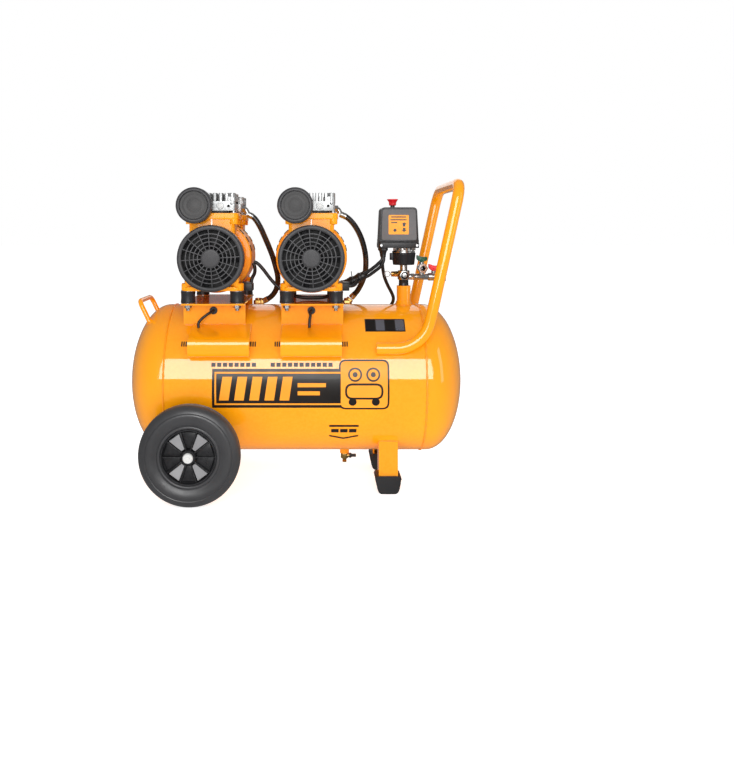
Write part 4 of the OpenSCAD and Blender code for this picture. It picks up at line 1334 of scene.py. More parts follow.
@dataclass(frozen=True)
class PumpEnd:
    """One end of a pump: guard, crankcase, cylinder, head and filter.

    Args:
        index: 0 for the left pump, 1 for the right one.
        rear: Whether it is the end at the back.
        guard_y: Depth of the guard's outer face.
        spokes: Spokes of the guard.
        rings: Radii of the guard's rings.
        flange_screws: Places of the screws of the cylinder's flange, from its middle.
        head_screws: Places of the screws of the head, from its middle.
        filter_at: Middle of the filter's inner face.
    """

    index: int
    rear: bool
    guard_y: float = -152
    spokes: int = 16
    rings: tuple[float, ...] = (25.5, 33.5, 41.5, 49.5)
    flange_screws: tuple[Pair, ...] = ((-44, -29), (-44, 29), (44, -29), (44, 29))
    head_screws: tuple[Pair, ...] = ((-41, -27), (-41, 27), (41, -27), (41, 27))
    filter_at: Point = (-32, -128, HEAD_Z + 10)

    @property
    def tag(self) -> str:
        """Name shared by this end's pieces."""
        return f"{'left' if self.index == 0 else 'right'}_{'rear' if self.rear else 'front'}"

    def draft(self) -> Draft:
        """Returns an empty draft at this pump and side."""
        return Draft(PUMP_X[self.index], self.rear)

    def build(self) -> None:
        """Makes every piece of this end."""
        self.guard()
        self.crankcase()
        self.head()
        self.filter()

    def guard(self) -> None:
        """Makes the fan guard: rim, sixteen spokes, rings and a middle disc, with a near-black cup of painted shade
        behind them.
        """
        at = (0, self.guard_y, SHAFT_Z)
        draft = self.draft()
        draft.lathe([(58.2, 3.4), (58, 1.6), (58.8, 0.5), (60.4, 0.1), (64, 0.2), (65.8, 1), (66.8, 2.6), (67, 5),
                     (67, 22.5), (66, 23.8), (63, 24), (62.6, 22), (63, 6), (62, 4.4), (58.2, 3.4)],
                    at, Axis.Y, "guard_plastic", 112)
        for radius in self.rings:
            ring = [(radius - 0.9, 1.3), (radius + 0.9, 1.3), (radius + 0.8, 3.2), (radius - 0.8, 3.2),
                    (radius - 0.9, 1.3)]
            draft.lathe(ring, at, Axis.Y, "guard_plastic", 96)
        for k in range(self.spokes):
            a = math.radians(360 / self.spokes * k + 4)
            way = Vector((math.cos(a), 0, math.sin(a)))
            across = Vector((-math.sin(a), 0, math.cos(a)))
            loop = [way * r + across * w for r, w in ((17, 0.95), (59, 0.95), (59, -0.95), (17, -0.95))]
            draft.prism([(p.x, -p.z) for p in loop], 2.9, (0, self.guard_y + 0.9, SHAFT_Z), Axis.Y,
                        "guard_plastic", 0.35, 2)
        draft.lathe([(0, 0.6), (15, 0.5), (18.2, 0.7), (19.2, 1.6), (19, 3.4), (0, 3.4)], at, Axis.Y,
                    "guard_plastic", 64)
        # A near-black cup behind the spokes: painted shade for the dark inside of the guard.
        draft.lathe([(62.7, 6), (62.4, 21.4), (0, 21.6)], at, Axis.Y, "shade_and_print_black", 64)
        draft.piece(f"{self.tag}_guard", "guard_plastic", ["fan_guards"], crease=40)

    def crankcase(self) -> None:
        """Makes the cast crankcase with its cylinder neck, flange and lugs."""
        paint = "pump_paint"
        draft = self.draft()
        draft.lathe([(0, -57.5), (61, -57.5), (62, -59), (62, -124.5), (61, -127), (58, -127.8), (0, -127.8)],
                    (0, 0, SHAFT_Z), Axis.MIRROR_Y, paint, 96)
        neck = rounded_outline(rectangle(-46, 46, -34, 34), 9, 5)
        draft.prism(neck, 84, (0, CYLINDER_Y, 487), Axis.Z, paint, 2, 2)
        flange = rounded_outline(rectangle(-54, 54, -39, 39), 13, 6)
        draft.prism(flange, 12, (0, CYLINDER_Y, 561), Axis.Z, paint, 2.4, 3)
        for x, y in self.flange_screws:
            draft.lathe([(0, -22), (8.2, -22), (8.6, -20), (8.6, -1.5), (7.6, 0.4), (0, 0.4)],
                        (x, CYLINDER_Y + y, NECK_TOP), Axis.Z, paint, 32)
        for way in (-1, 1):
            gusset = [(way * x, z) for x, z in ((28, 429), (54, 429), (55, 440), (52, 452), (57, 470), (30, 470))]
            draft.prism(rounded_outline(gusset, 5, 4), 56, (0, -70, 0), Axis.BACK_Y, paint, 2.5, 2)
        draft.piece(f"{self.tag}_crankcase", paint, ["crankcases"], crease=42)
        bolts = self.draft()
        for x, y in self.flange_screws:
            bolts.lathe([(0, 0.3), (6.6, 0.3), (6.6, 1.6), (4.6, 1.8), (4.6, 5.8), (4.2, 6.2), (2.4, 6.2),
                         (2.2, 3.4), (0, 3.4)], (x, CYLINDER_Y + y, NECK_TOP), Axis.Z, "zinc_steel", 28)
        bolts.piece(f"{self.tag}_flange_screws", "zinc_steel")

    def head(self) -> None:
        """Makes the finned head, its gasket plate, boss and screws."""
        gasket = self.draft()
        outline = rounded_outline(rectangle(-50, 36, -36, 36), 9, 5)
        gasket.prism(outline, 5, (0, CYLINDER_Y, NECK_TOP), Axis.Z, "gasket_black", 0.7, 2)
        gasket.piece(f"{self.tag}_valve_plate", "gasket_black", ["valve_plates"])
        metal = "cast_aluminium"
        draft = self.draft()
        base = rounded_outline(rectangle(-48, 48, -34, 34), 5, 4)
        draft.prism(base, 19, (0, CYLINDER_Y, HEAD_Z), Axis.Z, metal, 1.4, 2)
        for k in range(-3, 5):
            fin = rounded_outline(rectangle(-3.5, 3.5, -33.6, 33.6), 2.0, 4)
            draft.prism(fin, 20, (k * 12 - 6, CYLINDER_Y, HEAD_Z + 16), Axis.Z, metal, 1.5, 3)
        step = rounded_outline(rectangle(29, 48, -33.8, 33.8), 4, 4)
        draft.prism(step, 14, (0, CYLINDER_Y, HEAD_Z + 15), Axis.Z, metal, 2.5, 3)
        face_y = CYLINDER_Y - 34
        draft.lathe([(7.6, 0.4), (7.5, -0.8), (6.7, -1.7), (5.5, -1.8), (5.2, -0.6), (4.4, 0.3)],
                    (17, face_y, HEAD_Z + 10), Axis.Y, metal, 36)
        draft.lathe([(5.4, 0.2), (5.2, -0.7), (3.6, -1.2), (0, -1.3)], (17, face_y, HEAD_Z + 10), Axis.Y,
                    "white_cap", 32)
        # Two small near-black discs on the face: painted shade of two holes.
        for x, z in ((34, 9.5), (40.5, 15)):
            draft.lathe([(3, 0.2), (2.9, -0.25), (0, -0.3)], (x, face_y, HEAD_Z + z), Axis.Y, "shade_and_print_black", 24)
        for x, y in self.head_screws:
            at = (x, CYLINDER_Y + y, HEAD_Z)
            draft.lathe([(0, 14), (7.4, 14), (7.4, 35), (6.2, 36), (0, 36)], at, Axis.Z, metal, 32)
            draft.lathe([(4.6, 35.4), (4.6, 35.9), (2.4, 35.95), (2.3, 33), (0, 33)], at, Axis.Z, "zinc_steel", 28)
        draft.piece(f"{self.tag}_head", metal, ["cylinder_heads"], crease=40)

    def filter(self) -> None:
        """Makes the round air filter with its groove and front disc."""
        draft = self.draft()
        at = self.filter_at
        draft.lathe([(0, 0), (9, 0), (9, -5.4), (34, -5.4), (35.6, -6.4), (36, -8), (35.7, -9.8), (35.7, -10.2),
                     (35.7, -23.8), (36, -24.2), (36, -27), (35.2, -29.4), (33.4, -31.4), (31.2, -32),
                     (29.4, -31.6), (28.6, -30), (28.4, -28.2), (0, -28.2)], at, Axis.Y, "guard_plastic", 144,
                    ripple(0.28, 36, -24, -10))
        draft.lathe([(27.4, -27.9), (27.4, -30.4), (26.6, -31.2), (24, -31.3), (23.4, -30.9), (22.6, -30.9),
                     (22, -31.4), (15, -31.7), (14.4, -31.3), (13.6, -31.3), (13, -31.8), (0, -31.9)], at, Axis.Y,
                    "filter_felt", 72)
        draft.piece(f"{self.tag}_filter", "guard_plastic", ["air_filters"], crease=40)


@dataclass(frozen=True)
class Pump:
    """A motor with a cylinder at each end.

    Args:
        index: 0 for the left pump, 1 for the right one.
        hose: Points of its delivery hose, in the pump's X and over the tank's top.
        tilt: Angle of the check valve's outlet over the level, in degrees.
        casing: Outline of the motor's drum, as radius and depth.
        slot_y: Distance of each ring of slots from the middle.
        slot_r: Radius at which the slots lie.
        mounts_at: Places of the four mounts.
        mount_z: Height of their undersides.
        base_z: Height of the motor's base.
        tube_at: Place and height of the tube between the heads.
        valve_at: Place and depth of the check valve.
        valve_z: Height at which its thread is half in the socket.
        block_at: Place and depth of the connector block.
    """

    index: int
    hose: tuple[Point, ...]
    tilt: float
    casing: tuple[Pair, ...] = (
        (62, -58), (72, -58), (74.2, -57), (75, -54.6), (75, -40), (74, -39), (74, -36), (75, -35),
        (75, 35), (74, 36), (74, 39), (75, 40), (75, 54.6), (74.2, 57), (72, 58), (62, 58),
    )
    slot_y: float = 47
    slot_r: float = 74.5
    mounts_at: tuple[Pair, ...] = ((-50, -110), (-50, 110), (50, -110), (50, 110))
    mount_z: float = 390
    base_z: float = 416
    tube_at: Pair = (36, 587)
    valve_at: Pair = (80, 75)
    valve_z: float = 366
    block_at: Pair = (67, -60)

    @property
    def side(self) -> str:
        """Side of the machine that this pump is on."""
        return "left" if self.index == 0 else "right"

    def build(self) -> None:
        """Makes the pump and what joins it to the tank."""
        for rear in (False, True):
            PumpEnd(self.index, rear).build()
        self.drum()
        self.crossover()
        self.delivery_hose()
        self.check_valve()
        self.mounts()
        self.terminal()

    def drum(self) -> None:
        """Makes the motor's cast casing with its band, and its cooling slots as near-black strips of painted shade."""
        paint = "pump_paint"
        draft = Draft(PUMP_X[self.index])
        draft.lathe(self.casing, (0, 0, SHAFT_Z), Axis.Y, paint, 128)
        base = rounded_outline(rectangle(-55, 55, -128, 128), 8, 5)
        draft.prism(base, 8, (0, 0, self.base_z), Axis.Z, paint, 2, 3)
        saddle = rounded_outline(rectangle(-40, 40, -56, 56), 6, 4)
        draft.prism(saddle, 14, (0, 0, self.base_z + 4), Axis.Z, paint, 2, 2)
        for x, y in self.mounts_at:
            draft.lathe([(0, 0), (13.6, 0), (14.4, 1), (14.4, 13.4), (13, 15), (0, 15)],
                        (x * 0.98, y, self.base_z), Axis.Z, paint, 40)
        # The cooling slots are near-black strips laid on the casing: painted shade of the openings.
        for y in (-self.slot_y, self.slot_y):
            for k in range(-5, 6):
                angles = [math.radians(15 * k) + math.radians(-5 + 10 * n / 6) for n in range(7)]
                slot = [Vector((self.slot_r * math.sin(a), y, SHAFT_Z + self.slot_r * math.cos(a))) for a in angles]
                draft.tube(slot, 4.2, "shade_and_print_black", 10)
        draft.piece(f"{self.side}_motor_casing", paint, [f"motor_housing_{self.index + 1}"], crease=40)

    def crossover(self) -> None:
        """Makes the tube that joins both heads, with its outlet elbow."""
        draft = Draft(PUMP_X[self.index])
        metal = "cast_aluminium"
        x, z = self.tube_at
        draft.tube([Vector((x, y, z)) for y in range(-60, 61, 6)], 12, metal, 24)
        for y in (-62, 53):
            draft.hexagon(19, 9, (x, y, z), Axis.BACK_Y, "nickel_fittings")
        draft.block((18, 20, 18), (41, 0, 578), metal, 2.2)
        draft.hexagon(14, 8, (50, 0, 585.6), Axis.X, "nickel_fittings")
        elbow = smooth_line([(54, 0, 585.6), (58, 0, 583), (61.5, 0, 576.5)], 1.5)
        draft.tube(elbow, 11.5, "nickel_fittings", 20)
        draft.piece(f"{self.side}_crossover", metal, ["crossover_tubes"], crease=40)

    @staticmethod
    def crimp(run: float) -> float:
        """Returns the extra radius of a crimped ferrule at a distance along it."""
        return 0.3 * math.sin(run * 1.4)

    def delivery_hose(self) -> None:
        """Makes the delivery hose with a crimped ferrule at each end."""
        draft = Draft(PUMP_X[self.index])
        line = smooth_line([(x, y, z + TANK_TOP) for x, y, z in self.hose], 3)
        draft.tube(line, 12.2, "hose_rubber", 24)
        head = [p for p in line if (p - line[0]).length < 15]
        tail = [p for p in line if (p - line[-1]).length < 13]
        for ferrule in (head, tail):
            draft.tube(ferrule, 13.6, "nickel_fittings", 24, swell=self.crimp)
        draft.piece(f"{self.side}_delivery_hose", "hose_rubber", ["delivery_hoses"], crease=40)

    def check_valve(self) -> None:
        """Makes the check valve that the hose runs into, with its tilted nut."""
        valve = Draft(PUMP_X[self.index])
        brass = "brass"
        x, y = self.valve_at
        at = (x, y, self.valve_z)
        valve.lathe([(0, -6), (7, -6), (7, 3), (0, 3)], at, Axis.Z, brass, 32)
        valve.hexagon(19, 12, (x, y, self.valve_z + 3), Axis.Z, brass)
        valve.lathe([(0, 14), (7.4, 14), (7.4, 17), (6.6, 17.6), (7, 18.4), (6.6, 20), (0, 20)], at, Axis.Z, brass, 32)
        tip = math.radians(self.tilt)
        way = Vector((math.cos(tip), 0, math.sin(tip)))
        turn = Matrix((Vector((-way.z, 0, way.x)), Vector((0, 1, 0)), way)).transposed()
        nut_at = (x + 2.6 * way.x, y, self.valve_z + 9 + 2.6 * way.z)
        valve.prism(hexagon_outline(8.08), 9.6, nut_at, turn, brass, 0.8, 2)
        valve.piece(f"{self.side}_check_valve", brass, ["check_valves"], crease=40)

    def mounts(self) -> None:
        """Makes the four rubber mounts with their washers."""
        draft = Draft(PUMP_X[self.index])
        for x, y in self.mounts_at:
            at = (x, y, self.mount_z)
            draft.lathe([(0, 0), (14.6, 0), (14.9, 0.5), (14.9, 1.4), (0, 1.4)], at, Axis.Z, "zinc_steel", 40)
            draft.lathe([(0, 1.2), (13.6, 1.2), (14.8, 2.2), (15, 3.6), (14.5, 6), (14.2, 13), (14.5, 20),
                         (15, 22.4), (14.8, 23.8), (13.6, 24.8), (0, 24.8)], at, Axis.Z, "mount_rubber", 48)
            draft.lathe([(0, 24.6), (14.9, 24.6), (14.9, 25.6), (14.4, 26), (0, 26)], at, Axis.Z, "zinc_steel", 40)
        draft.piece(f"{self.side}_mounts", "mount_rubber", ["rubber_mounts"], crease=40)

    def terminal(self) -> None:
        """Makes the ribbed connector block beside the motor."""
        draft = Draft(PUMP_X[self.index])
        x, y = self.block_at
        draft.block((23.6, 39.6, 14), (x, y, 413), "black_plastic", 1.4)
        draft.block((21, 37, 4.2), (x, y, 426.4), "black_plastic", 1.0)
        for k in range(-2, 3):
            draft.block((24, 2.0, 12), (x, y + k * 7.4, 414), "black_plastic", 0.6)
        draft.lathe([(0, 0), (2.4, 0), (2.4, 0.9), (0, 0.9)], (x, y, 430.2), Axis.Z, "zinc_steel", 20)
        draft.piece(f"{self.side}_terminal_block", "black_plastic", ["terminal_boxes"], crease=40)


@dataclass(frozen=True)
class Wiring:
    """The motors' leads, from their casings through the loom to the switch.

    Args:
        leads: Ways of the single leads, measured from the foot of the switch's post.
        loom: Way of the taped loom.
        to_switch: Way of the pair that enters the switch.
        lead_d: Diameter of a lead.
        loom_d: Diameter of the loom.
    """

    leads: tuple[tuple[Point, ...], ...] = (
        ((-323, -30, 94), (-314, -30, 89), (-303, -30, 77), (-286, -30, 55), (-268, -32, 37), (-246, -34, 25),
         (-220, -36, 18), (-196, -36, 17), (-174, -34, 18), (-159, -31, 23), (-148, -29, 32), (-136, -28, 42)),
        ((-323, -44, 91), (-320, -46, 82), (-320, -51, 71), (-324, -56, 62), (-326, -58, 56), (-326, -58, 53.1)),
        ((-120.8, -58, 44), (-115, -58, 44), (-109, -54, 46), (-105, -49, 50), (-100, -39, 55), (-96, -31, 60)),
    )
    loom: tuple[Point, ...] = (
        (-138, -28, 41), (-136, -28, 42), (-122, -28, 48), (-108, -29, 54), (-92, -30, 62), (-90, -30, 63),
    )
    to_switch: tuple[Point, ...] = (
        (-92, -30, 62), (-80, -27, 67), (-68, -22, 75), (-56, -17, 84), (-48, -14, 93), (-45, -13, 101),
        (-45, -13, 111),
    )
    lead_d: float = 7.6
    loom_d: float = 20

    def line(self, points: Sequence[Point], step: float = 3.0) -> list[Vector]:
        """Returns a smooth line through points measured from the post's foot."""
        return smooth_line([(x + POST_X, y, z + TANK_TOP) for x, y, z in points], step)

    def build(self) -> None:
        """Makes the leads, the taped loom and its ties."""
        draft = Draft()
        for lead in self.leads:
            draft.tube(self.line(lead), self.lead_d, "cable_jacket", 16)
        pair = self.line(self.to_switch)
        for way, thick in ((-1, 7.2), (1, self.lead_d)):
            strand = []
            for k, spot in enumerate(pair):
                apart = 4.1 * min(1.0, (len(pair) - 1 - k) / 9)
                strand.append(spot + Vector((-0.6, 0.35, 0.72)) * apart * way)
            draft.tube(strand, thick, "cable_jacket", 16)
        loom = self.line(self.loom, 1.2)
        draft.tube(loom, self.loom_d, "cable_jacket", 28, swell=self.wrap)
        for k in (6, len(loom) // 2, len(loom) - 8):
            spot = loom[k]
            way = (loom[k + 1] - loom[k - 1]).normalized()
            side = way.orthogonal().normalized()
            up = way.cross(side)
            ring = [spot + (side * math.cos(a) + up * math.sin(a)) * 10.6 for a in turns(28)]
            draft.tube(ring, 2.4, "black_plastic", 8, closed=True)
        for k, tail in ((len(loom) // 2, (-2, -2, 14)), (len(loom) - 8, (9, -3, 9))):
            spot = loom[k] + Vector((0, -6, 8))
            draft.block((4.4, 4, 5), tuple(spot - Vector((0, 0, 3))), "black_plastic", 0.6)
            draft.tube([spot, spot + Vector(tail) * 0.5, spot + Vector(tail)], 1.9, "black_plastic", 8)
        draft.piece("motor_wiring", "cable_jacket", ["motor_leads"], crease=40)

    @staticmethod
    def wrap(run: float) -> float:
        """Returns the extra radius of the tape's windings at a distance along the loom."""
        return 0.4 * math.sin(run * 1.35) + 0.7 * math.sin(run * 0.31)


@dataclass(frozen=True)
class Controls:
    """The pressure switch, its fittings, taps and safety valve.

    Args:
        switch: Middle of the switch's underside.
        hood_z: Height at which its cover starts.
        face_y: Depth of its printed label's face.
        knob_at: Middle of the hole for the knob's stem.
        gland_x: Place of the cable glands.
        gland_y: Depth of each cable gland.
        plug_z: Height of the manifold's front plug.
        bore_z: Height of the manifold's arm.
        safety_z: Height of the safety valve.
        taps: Name, place, height and finish of each tap.
        drain_at: Middle of the drain valve.
    """

    switch: Point = (219, 0, 501)
    hood_z: float = 512
    face_y: float = -32.15
    knob_at: Point = (208, 0, 588)
    gland_x: float = 187
    gland_y: Pair = (-13, 13)
    plug_z: float = 442
    bore_z: float = 438
    safety_z: float = 444
    taps: tuple[tuple[str, float, float, str], ...] = (
        ("green", 271.0, 457.0, "green_plastic"), ("red", 297.0, 438.0, "red_plastic"),
    )
    drain_at: Point = (103.5, 0, 50)

    def build(self) -> None:
        """Makes every piece of the controls."""
        self.cover()
        self.base()
        self.knob()
        self.glands()
        self.diaphragm()
        self.pipework()
        self.safety()
        for name, x, z, finish in self.taps:
            self.tap(name, x, z, finish)
        self.drain()

    def cover(self) -> None:
        """Makes the switch cover with its grey face and printed label."""
        draft = Draft()
        outline = [(-42, 0), (42, 0), (38.6, 70), (36.5, 74), (32, 76), (-32, 76), (-36.5, 74), (-38.6, 70)]
        x, z = self.switch[0], self.hood_z
        plastic = "black_plastic"
        draft.prism(rounded_outline(outline, 4, 4), 64, (x, 32, z), Axis.BACK_Y, plastic, 3.4, 4)
        face = rounded_outline([(-37.6, 6), (37.6, 6), (35, 68.5), (33, 71.5), (-33, 71.5), (-35, 68.5)], 3, 4)
        for y in (-31.2, 32.1):
            draft.prism(face, 0.9, (x, y, z), Axis.BACK_Y, "grey_plastic", 0.4, 2)
        rim = rounded_outline(rectangle(-42.2, 42.2, 0, 7), 1, 2)
        draft.prism(rim, 64.4, (x, 32.2, z), Axis.BACK_Y, plastic, 0.8)
        draft.piece("switch_hood", plastic, ["switch_cover"], crease=40)
        label = Draft()
        paper = rounded_outline(rectangle(-22.5, 20.5, 18, 59.5), 1.5, 3)
        label.prism(paper, 0.35, (x, self.face_y + 0.1, z), Axis.BACK_Y, "print_orange", 0.1, 1)
        rows = ((54, -17, 15), (48, -19, 16), (42, -17, -4))
        prints = [rectangle(x0, x1, bottom, bottom + 2.4) for bottom, x0, x1 in rows]
        arrow = [(4, 37), (12, 37), (12, 44), (16, 44), (8, 50), (0, 44), (4, 44)]
        prints.append([(a * 0.7 + 5, b * 0.7 + 9) for a, b in arrow])
        prints.append([(a * 0.7 + 5, 58 - b * 0.7) for a, b in arrow])
        prints.append(arc((-9, 27), 3.4, 0, 350, 20))
        for shape in prints:
            label.prism(shape, 0.2, (x, self.face_y - 0.2, z), Axis.BACK_Y, "print_black")
        label.piece("switch_label", "grey_plastic")

    def base(self) -> None:
        """Makes the switch's black base with its screws."""
        draft = Draft()
        middle, _, bottom = self.switch
        draft.block((86, 66, 11), self.switch, "black_plastic", 1.6, 4.5)
        for x in (-38, 38):
            for y in (-33.2, 33.2):
                draft.lathe([(0, -0.9), (2.6, -0.9), (3, -0.2), (3, 0.4), (0, 0.4)], (middle + x, y, bottom + 5.5),
                            Axis.Y, "zinc_steel", 24)
        for x in (-15, 6, 26):
            draft.lathe([(0, -5.4), (3.2, -5.4), (3.6, -4.8), (3.6, 0.4), (0, 0.4)], (POST_X - 6 + x, -20, bottom),
                        Axis.Z, "zinc_steel", 24)
        draft.piece("switch_foot", "black_plastic", ["switch_base"], crease=40)

    def knob(self) -> None:
        """Makes the red pull knob on its black stem."""
        at = self.knob_at
        draft = Draft()
        draft.lathe([(0, -15), (9, -15), (9, -13), (4.9, -12.4), (4.9, 4.4), (6.8, 4.8), (6.8, 5.4), (0, 5.4)], at,
                    Axis.Z, "black_plastic", 40)
        draft.lathe([(0, 5), (7, 5), (7.4, 5.6), (7.5, 8), (7.7, 11), (8.8, 13.4), (10.6, 15.8), (11.9, 17),
                     (12, 17.9), (11.5, 18.4), (10.4, 18.4), (9.8, 17.7), (0, 17.5)], at, Axis.Z, "red_plastic", 80,
                    ripple(0.3, 10, 5.5, 15))
        draft.piece("pull_knob", "red_plastic", ["switch_knob"], "knob", crease=40)

    def glands(self) -> None:
        """Makes the two cable glands with their domed nuts and tapered sleeves."""
        draft = Draft()
        for y in self.gland_y:
            at = (self.gland_x, y, 0)
            draft.hexagon(17, 6, (self.gland_x, y, 495), Axis.Z, "black_plastic")
            draft.lathe([(4.2, 481), (5.2, 481.2), (5.6, 484), (5.2, 485), (6, 487), (5.7, 488), (6.6, 490),
                         (6.4, 491),
                         (7.6, 493.4), (8.4, 495.4), (8.4, 497), (0, 497)], at, Axis.Z, "black_plastic", 36)
        draft.piece("gland_nuts", "black_plastic", ["cable_glands"], crease=40)

    def diaphragm(self) -> None:
        """Makes the tapered drum, its flange, screws and side block."""
        draft = Draft()
        at = (POST_X, 0, 0)
        draft.lathe([(0, 464), (22, 464), (23.2, 464.8), (25.6, 486), (26, 488.6), (25.6, 490), (0, 490)], at, Axis.Z,
                    "diaphragm_metal", 64)
        draft.lathe([(0, 490), (24, 490), (25, 490.8), (25, 493.2), (24.4, 494), (22.4, 494.2), (22, 500.8),
                     (0, 501)], at, Axis.Z, "nickel_fittings", 64)
        for k in range(6):
            a = math.radians(60 * k + 15)
            spot = (POST_X + 20.5 * math.cos(a), 20.5 * math.sin(a), 493.8)
            draft.lathe([(0, 0), (3.4, 0), (3.4, 2.6), (2.6, 3.4), (1, 3.4), (0.8, 2.4), (0, 2.4)], spot, Axis.Z,
                        "zinc_steel", 20)
        draft.block((12, 16, 15), (208, 0, 474.5), "diaphragm_metal", 1.4)
        draft.piece("pressure_drum", "diaphragm_metal", ["switch_diaphragm"], crease=40)

    def pipework(self) -> None:
        """Makes the post pipe and the manifold with its hex plug and arm."""
        pipe = Draft()
        pipe.lathe([(0, 388), (10.6, 388), (10.6, 424), (10.2, 425), (10.6, 426), (10.2, 427), (10.6, 428),
                    (10.2, 429),
                    (10.6, 430), (10.2, 431), (10.2, 432), (0, 432)], (POST_X, 0, 0), Axis.Z, "dark_pipe", 48)
        pipe.piece("post_tube", "dark_pipe", ["post_pipe"])
        draft = Draft()
        nickel = "nickel_fittings"
        draft.lathe([(0, 432), (12.2, 432), (13, 433), (13, 450.6), (12, 452), (8.4, 452.4), (8, 453.6), (8, 463.6),
                     (0, 464)], (POST_X, 0, 0), Axis.Z, nickel, 48)
        draft.hexagon(19, 10, (POST_X, -14, self.plug_z), Axis.BACK_Y, nickel)
        seal = (POST_X, -22.2, self.plug_z)
        draft.lathe([(9, 0.2), (8.8, -1.2), (7.8, -1.8), (4.9, -1.8), (4.5, -0.6)], seal, Axis.Y, "white_cap", 40)
        draft.lathe([(4.6, -0.7), (2.4, -0.7), (1.8, 1.2), (0, 1.2)], seal, Axis.Y, "plate_grey", 32)
        draft.lathe([(0, 10), (6.3, 10), (6.5, 11), (6.5, 16), (5.6, 16.6), (5.6, 24), (6.5, 24.6), (6.5, 52.6),
                     (6, 53.2), (0, 53.2)], (POST_X, 0, self.bore_z), Axis.X, nickel, 36)
        draft.hexagon(14, 7, (POST_X + 16, 0, self.bore_z), Axis.X, nickel)
        draft.lathe([(0, 0), (5, 0), (5, 12), (0, 12)], (self.taps[0][1], 0, self.bore_z), Axis.Z, nickel, 28)
        draft.piece("air_manifold", nickel, ["manifold"], crease=40)

    def safety(self) -> None:
        """Makes the safety valve's body and its pull ring."""
        draft = Draft()
        at = (POST_X, 0, self.safety_z)
        draft.hexagon(12, 7, (POST_X - 20, 0, self.safety_z), Axis.X, "brass")
        draft.lathe([(2.1, -27), (5.2, -27), (6, -26.2), (6, -24.6), (5.4, -24.2), (6, -23.6), (6, -22),
                     (5.6, -20.6), (6, -20), (2.1, -20)], at, Axis.X, "brass", 32)
        draft.lathe([(0, -13), (4, -13), (4, -8), (0, -8)], at, Axis.X, "brass", 24)
        draft.piece("safety_body", "brass", ["safety_valve"], crease=40)
        ring = Draft()
        ring.lathe([(0, -30), (1.6, -30), (2, -29.5), (2, -15.6), (0, -15.6)], at, Axis.X, "zinc_steel", 20)
        centre = Vector((POST_X - 35.4, 0, self.safety_z))
        loop = [centre + Vector((6 * math.cos(a), 0, 6 * math.sin(a))) for a in turns(48)]
        ring.tube(loop, 1.8, "zinc_steel", 12, closed=True)
        ring.piece("pull_ring", "zinc_steel", ["safety_ring"], "safety_pull")

    def tap(self, name: str, x: float, z: float, finish: str) -> None:
        """Makes one outlet tap and its wing lever.

        Args:
            name: Colour of the lever, which names the tap's body.
            x: Place along the machine.
            z: Height of the tap's bore.
            finish: Finish of the lever.
        """
        lever = Draft()
        lever.lathe([(0, 4.5), (2, 4.5), (2, 14), (0, 14)], (x, 0, z), Axis.Z, "nickel_fittings", 20)
        lever.lathe([(0, 13.3), (4.6, 13.3), (5, 13.8), (5, 17.4), (4.2, 18.3), (0, 18.4)], (x, 0, z), Axis.Z,
                    finish, 28)
        outline = [(-11, 6), (-11, 15), (-4, 13), (0, 10), (6, 11), (12, 11), (12.5, 4), (5, 0.3), (-5, 0.3)]
        lever.prism(rounded_outline(outline[::-1], 1.8, 4), 8, (x, 4, z + 13.3), Axis.BACK_Y, finish, 1.1, 3)
        lever.lathe([(0, 8), (2.4, 8), (2.8, 10.4), (2.2, 11.4), (0, 11.6)], (x, 0, z + 13.3), Axis.Z,
                    "zinc_steel", 20)
        ball = [(6.9 * math.cos(a), 6.9 * math.sin(a)) for a in (math.radians(-54 + 12 * k) for k in range(10))]
        ball = [(4, ball[0][1]), *ball, (4, ball[-1][1]), (4, ball[0][1])]
        lever.lathe(ball, (x, 0, z), Axis.X, "bearing_steel", 40)
        lever.piece(f"{name}_wing", finish, [f"{name}_lever"], f"{name}_tap", crease=40)
        valve = Draft()
        nickel = "nickel_fittings"
        body = [(5.7, 26), (8, 26), (8, 13.6), (8.5, 13), (8.5, -11), (7.9, -12), (4, -12), (4, -7), (7.3, -5),
                (7.3, 5), (5.7, 12), (5.7, 26)]
        mouth = Axis.BACK_Y if name == "green" else Axis.X
        valve.lathe(body, (x, 0, z), mouth, nickel, 40)
        nut = [(5.8, 14), (10.2, 14), (10.9, 14.8), (10.9, 24.8), (10.2, 25.9), (5.8, 25.9), (5.8, 14)]
        valve.lathe(nut, (x, 0, z), mouth, nickel, 6)
        valve.lathe([(2.1, 7), (5.6, 7), (5.6, 8.6), (5, 9), (5, 12.4), (4.4, 13), (2.1, 13)], (x, 0, z), Axis.Z,
                    nickel, 28)
        valve.piece(f"{name}_tap_body", "brass", ["outlet_valves"], crease=40)

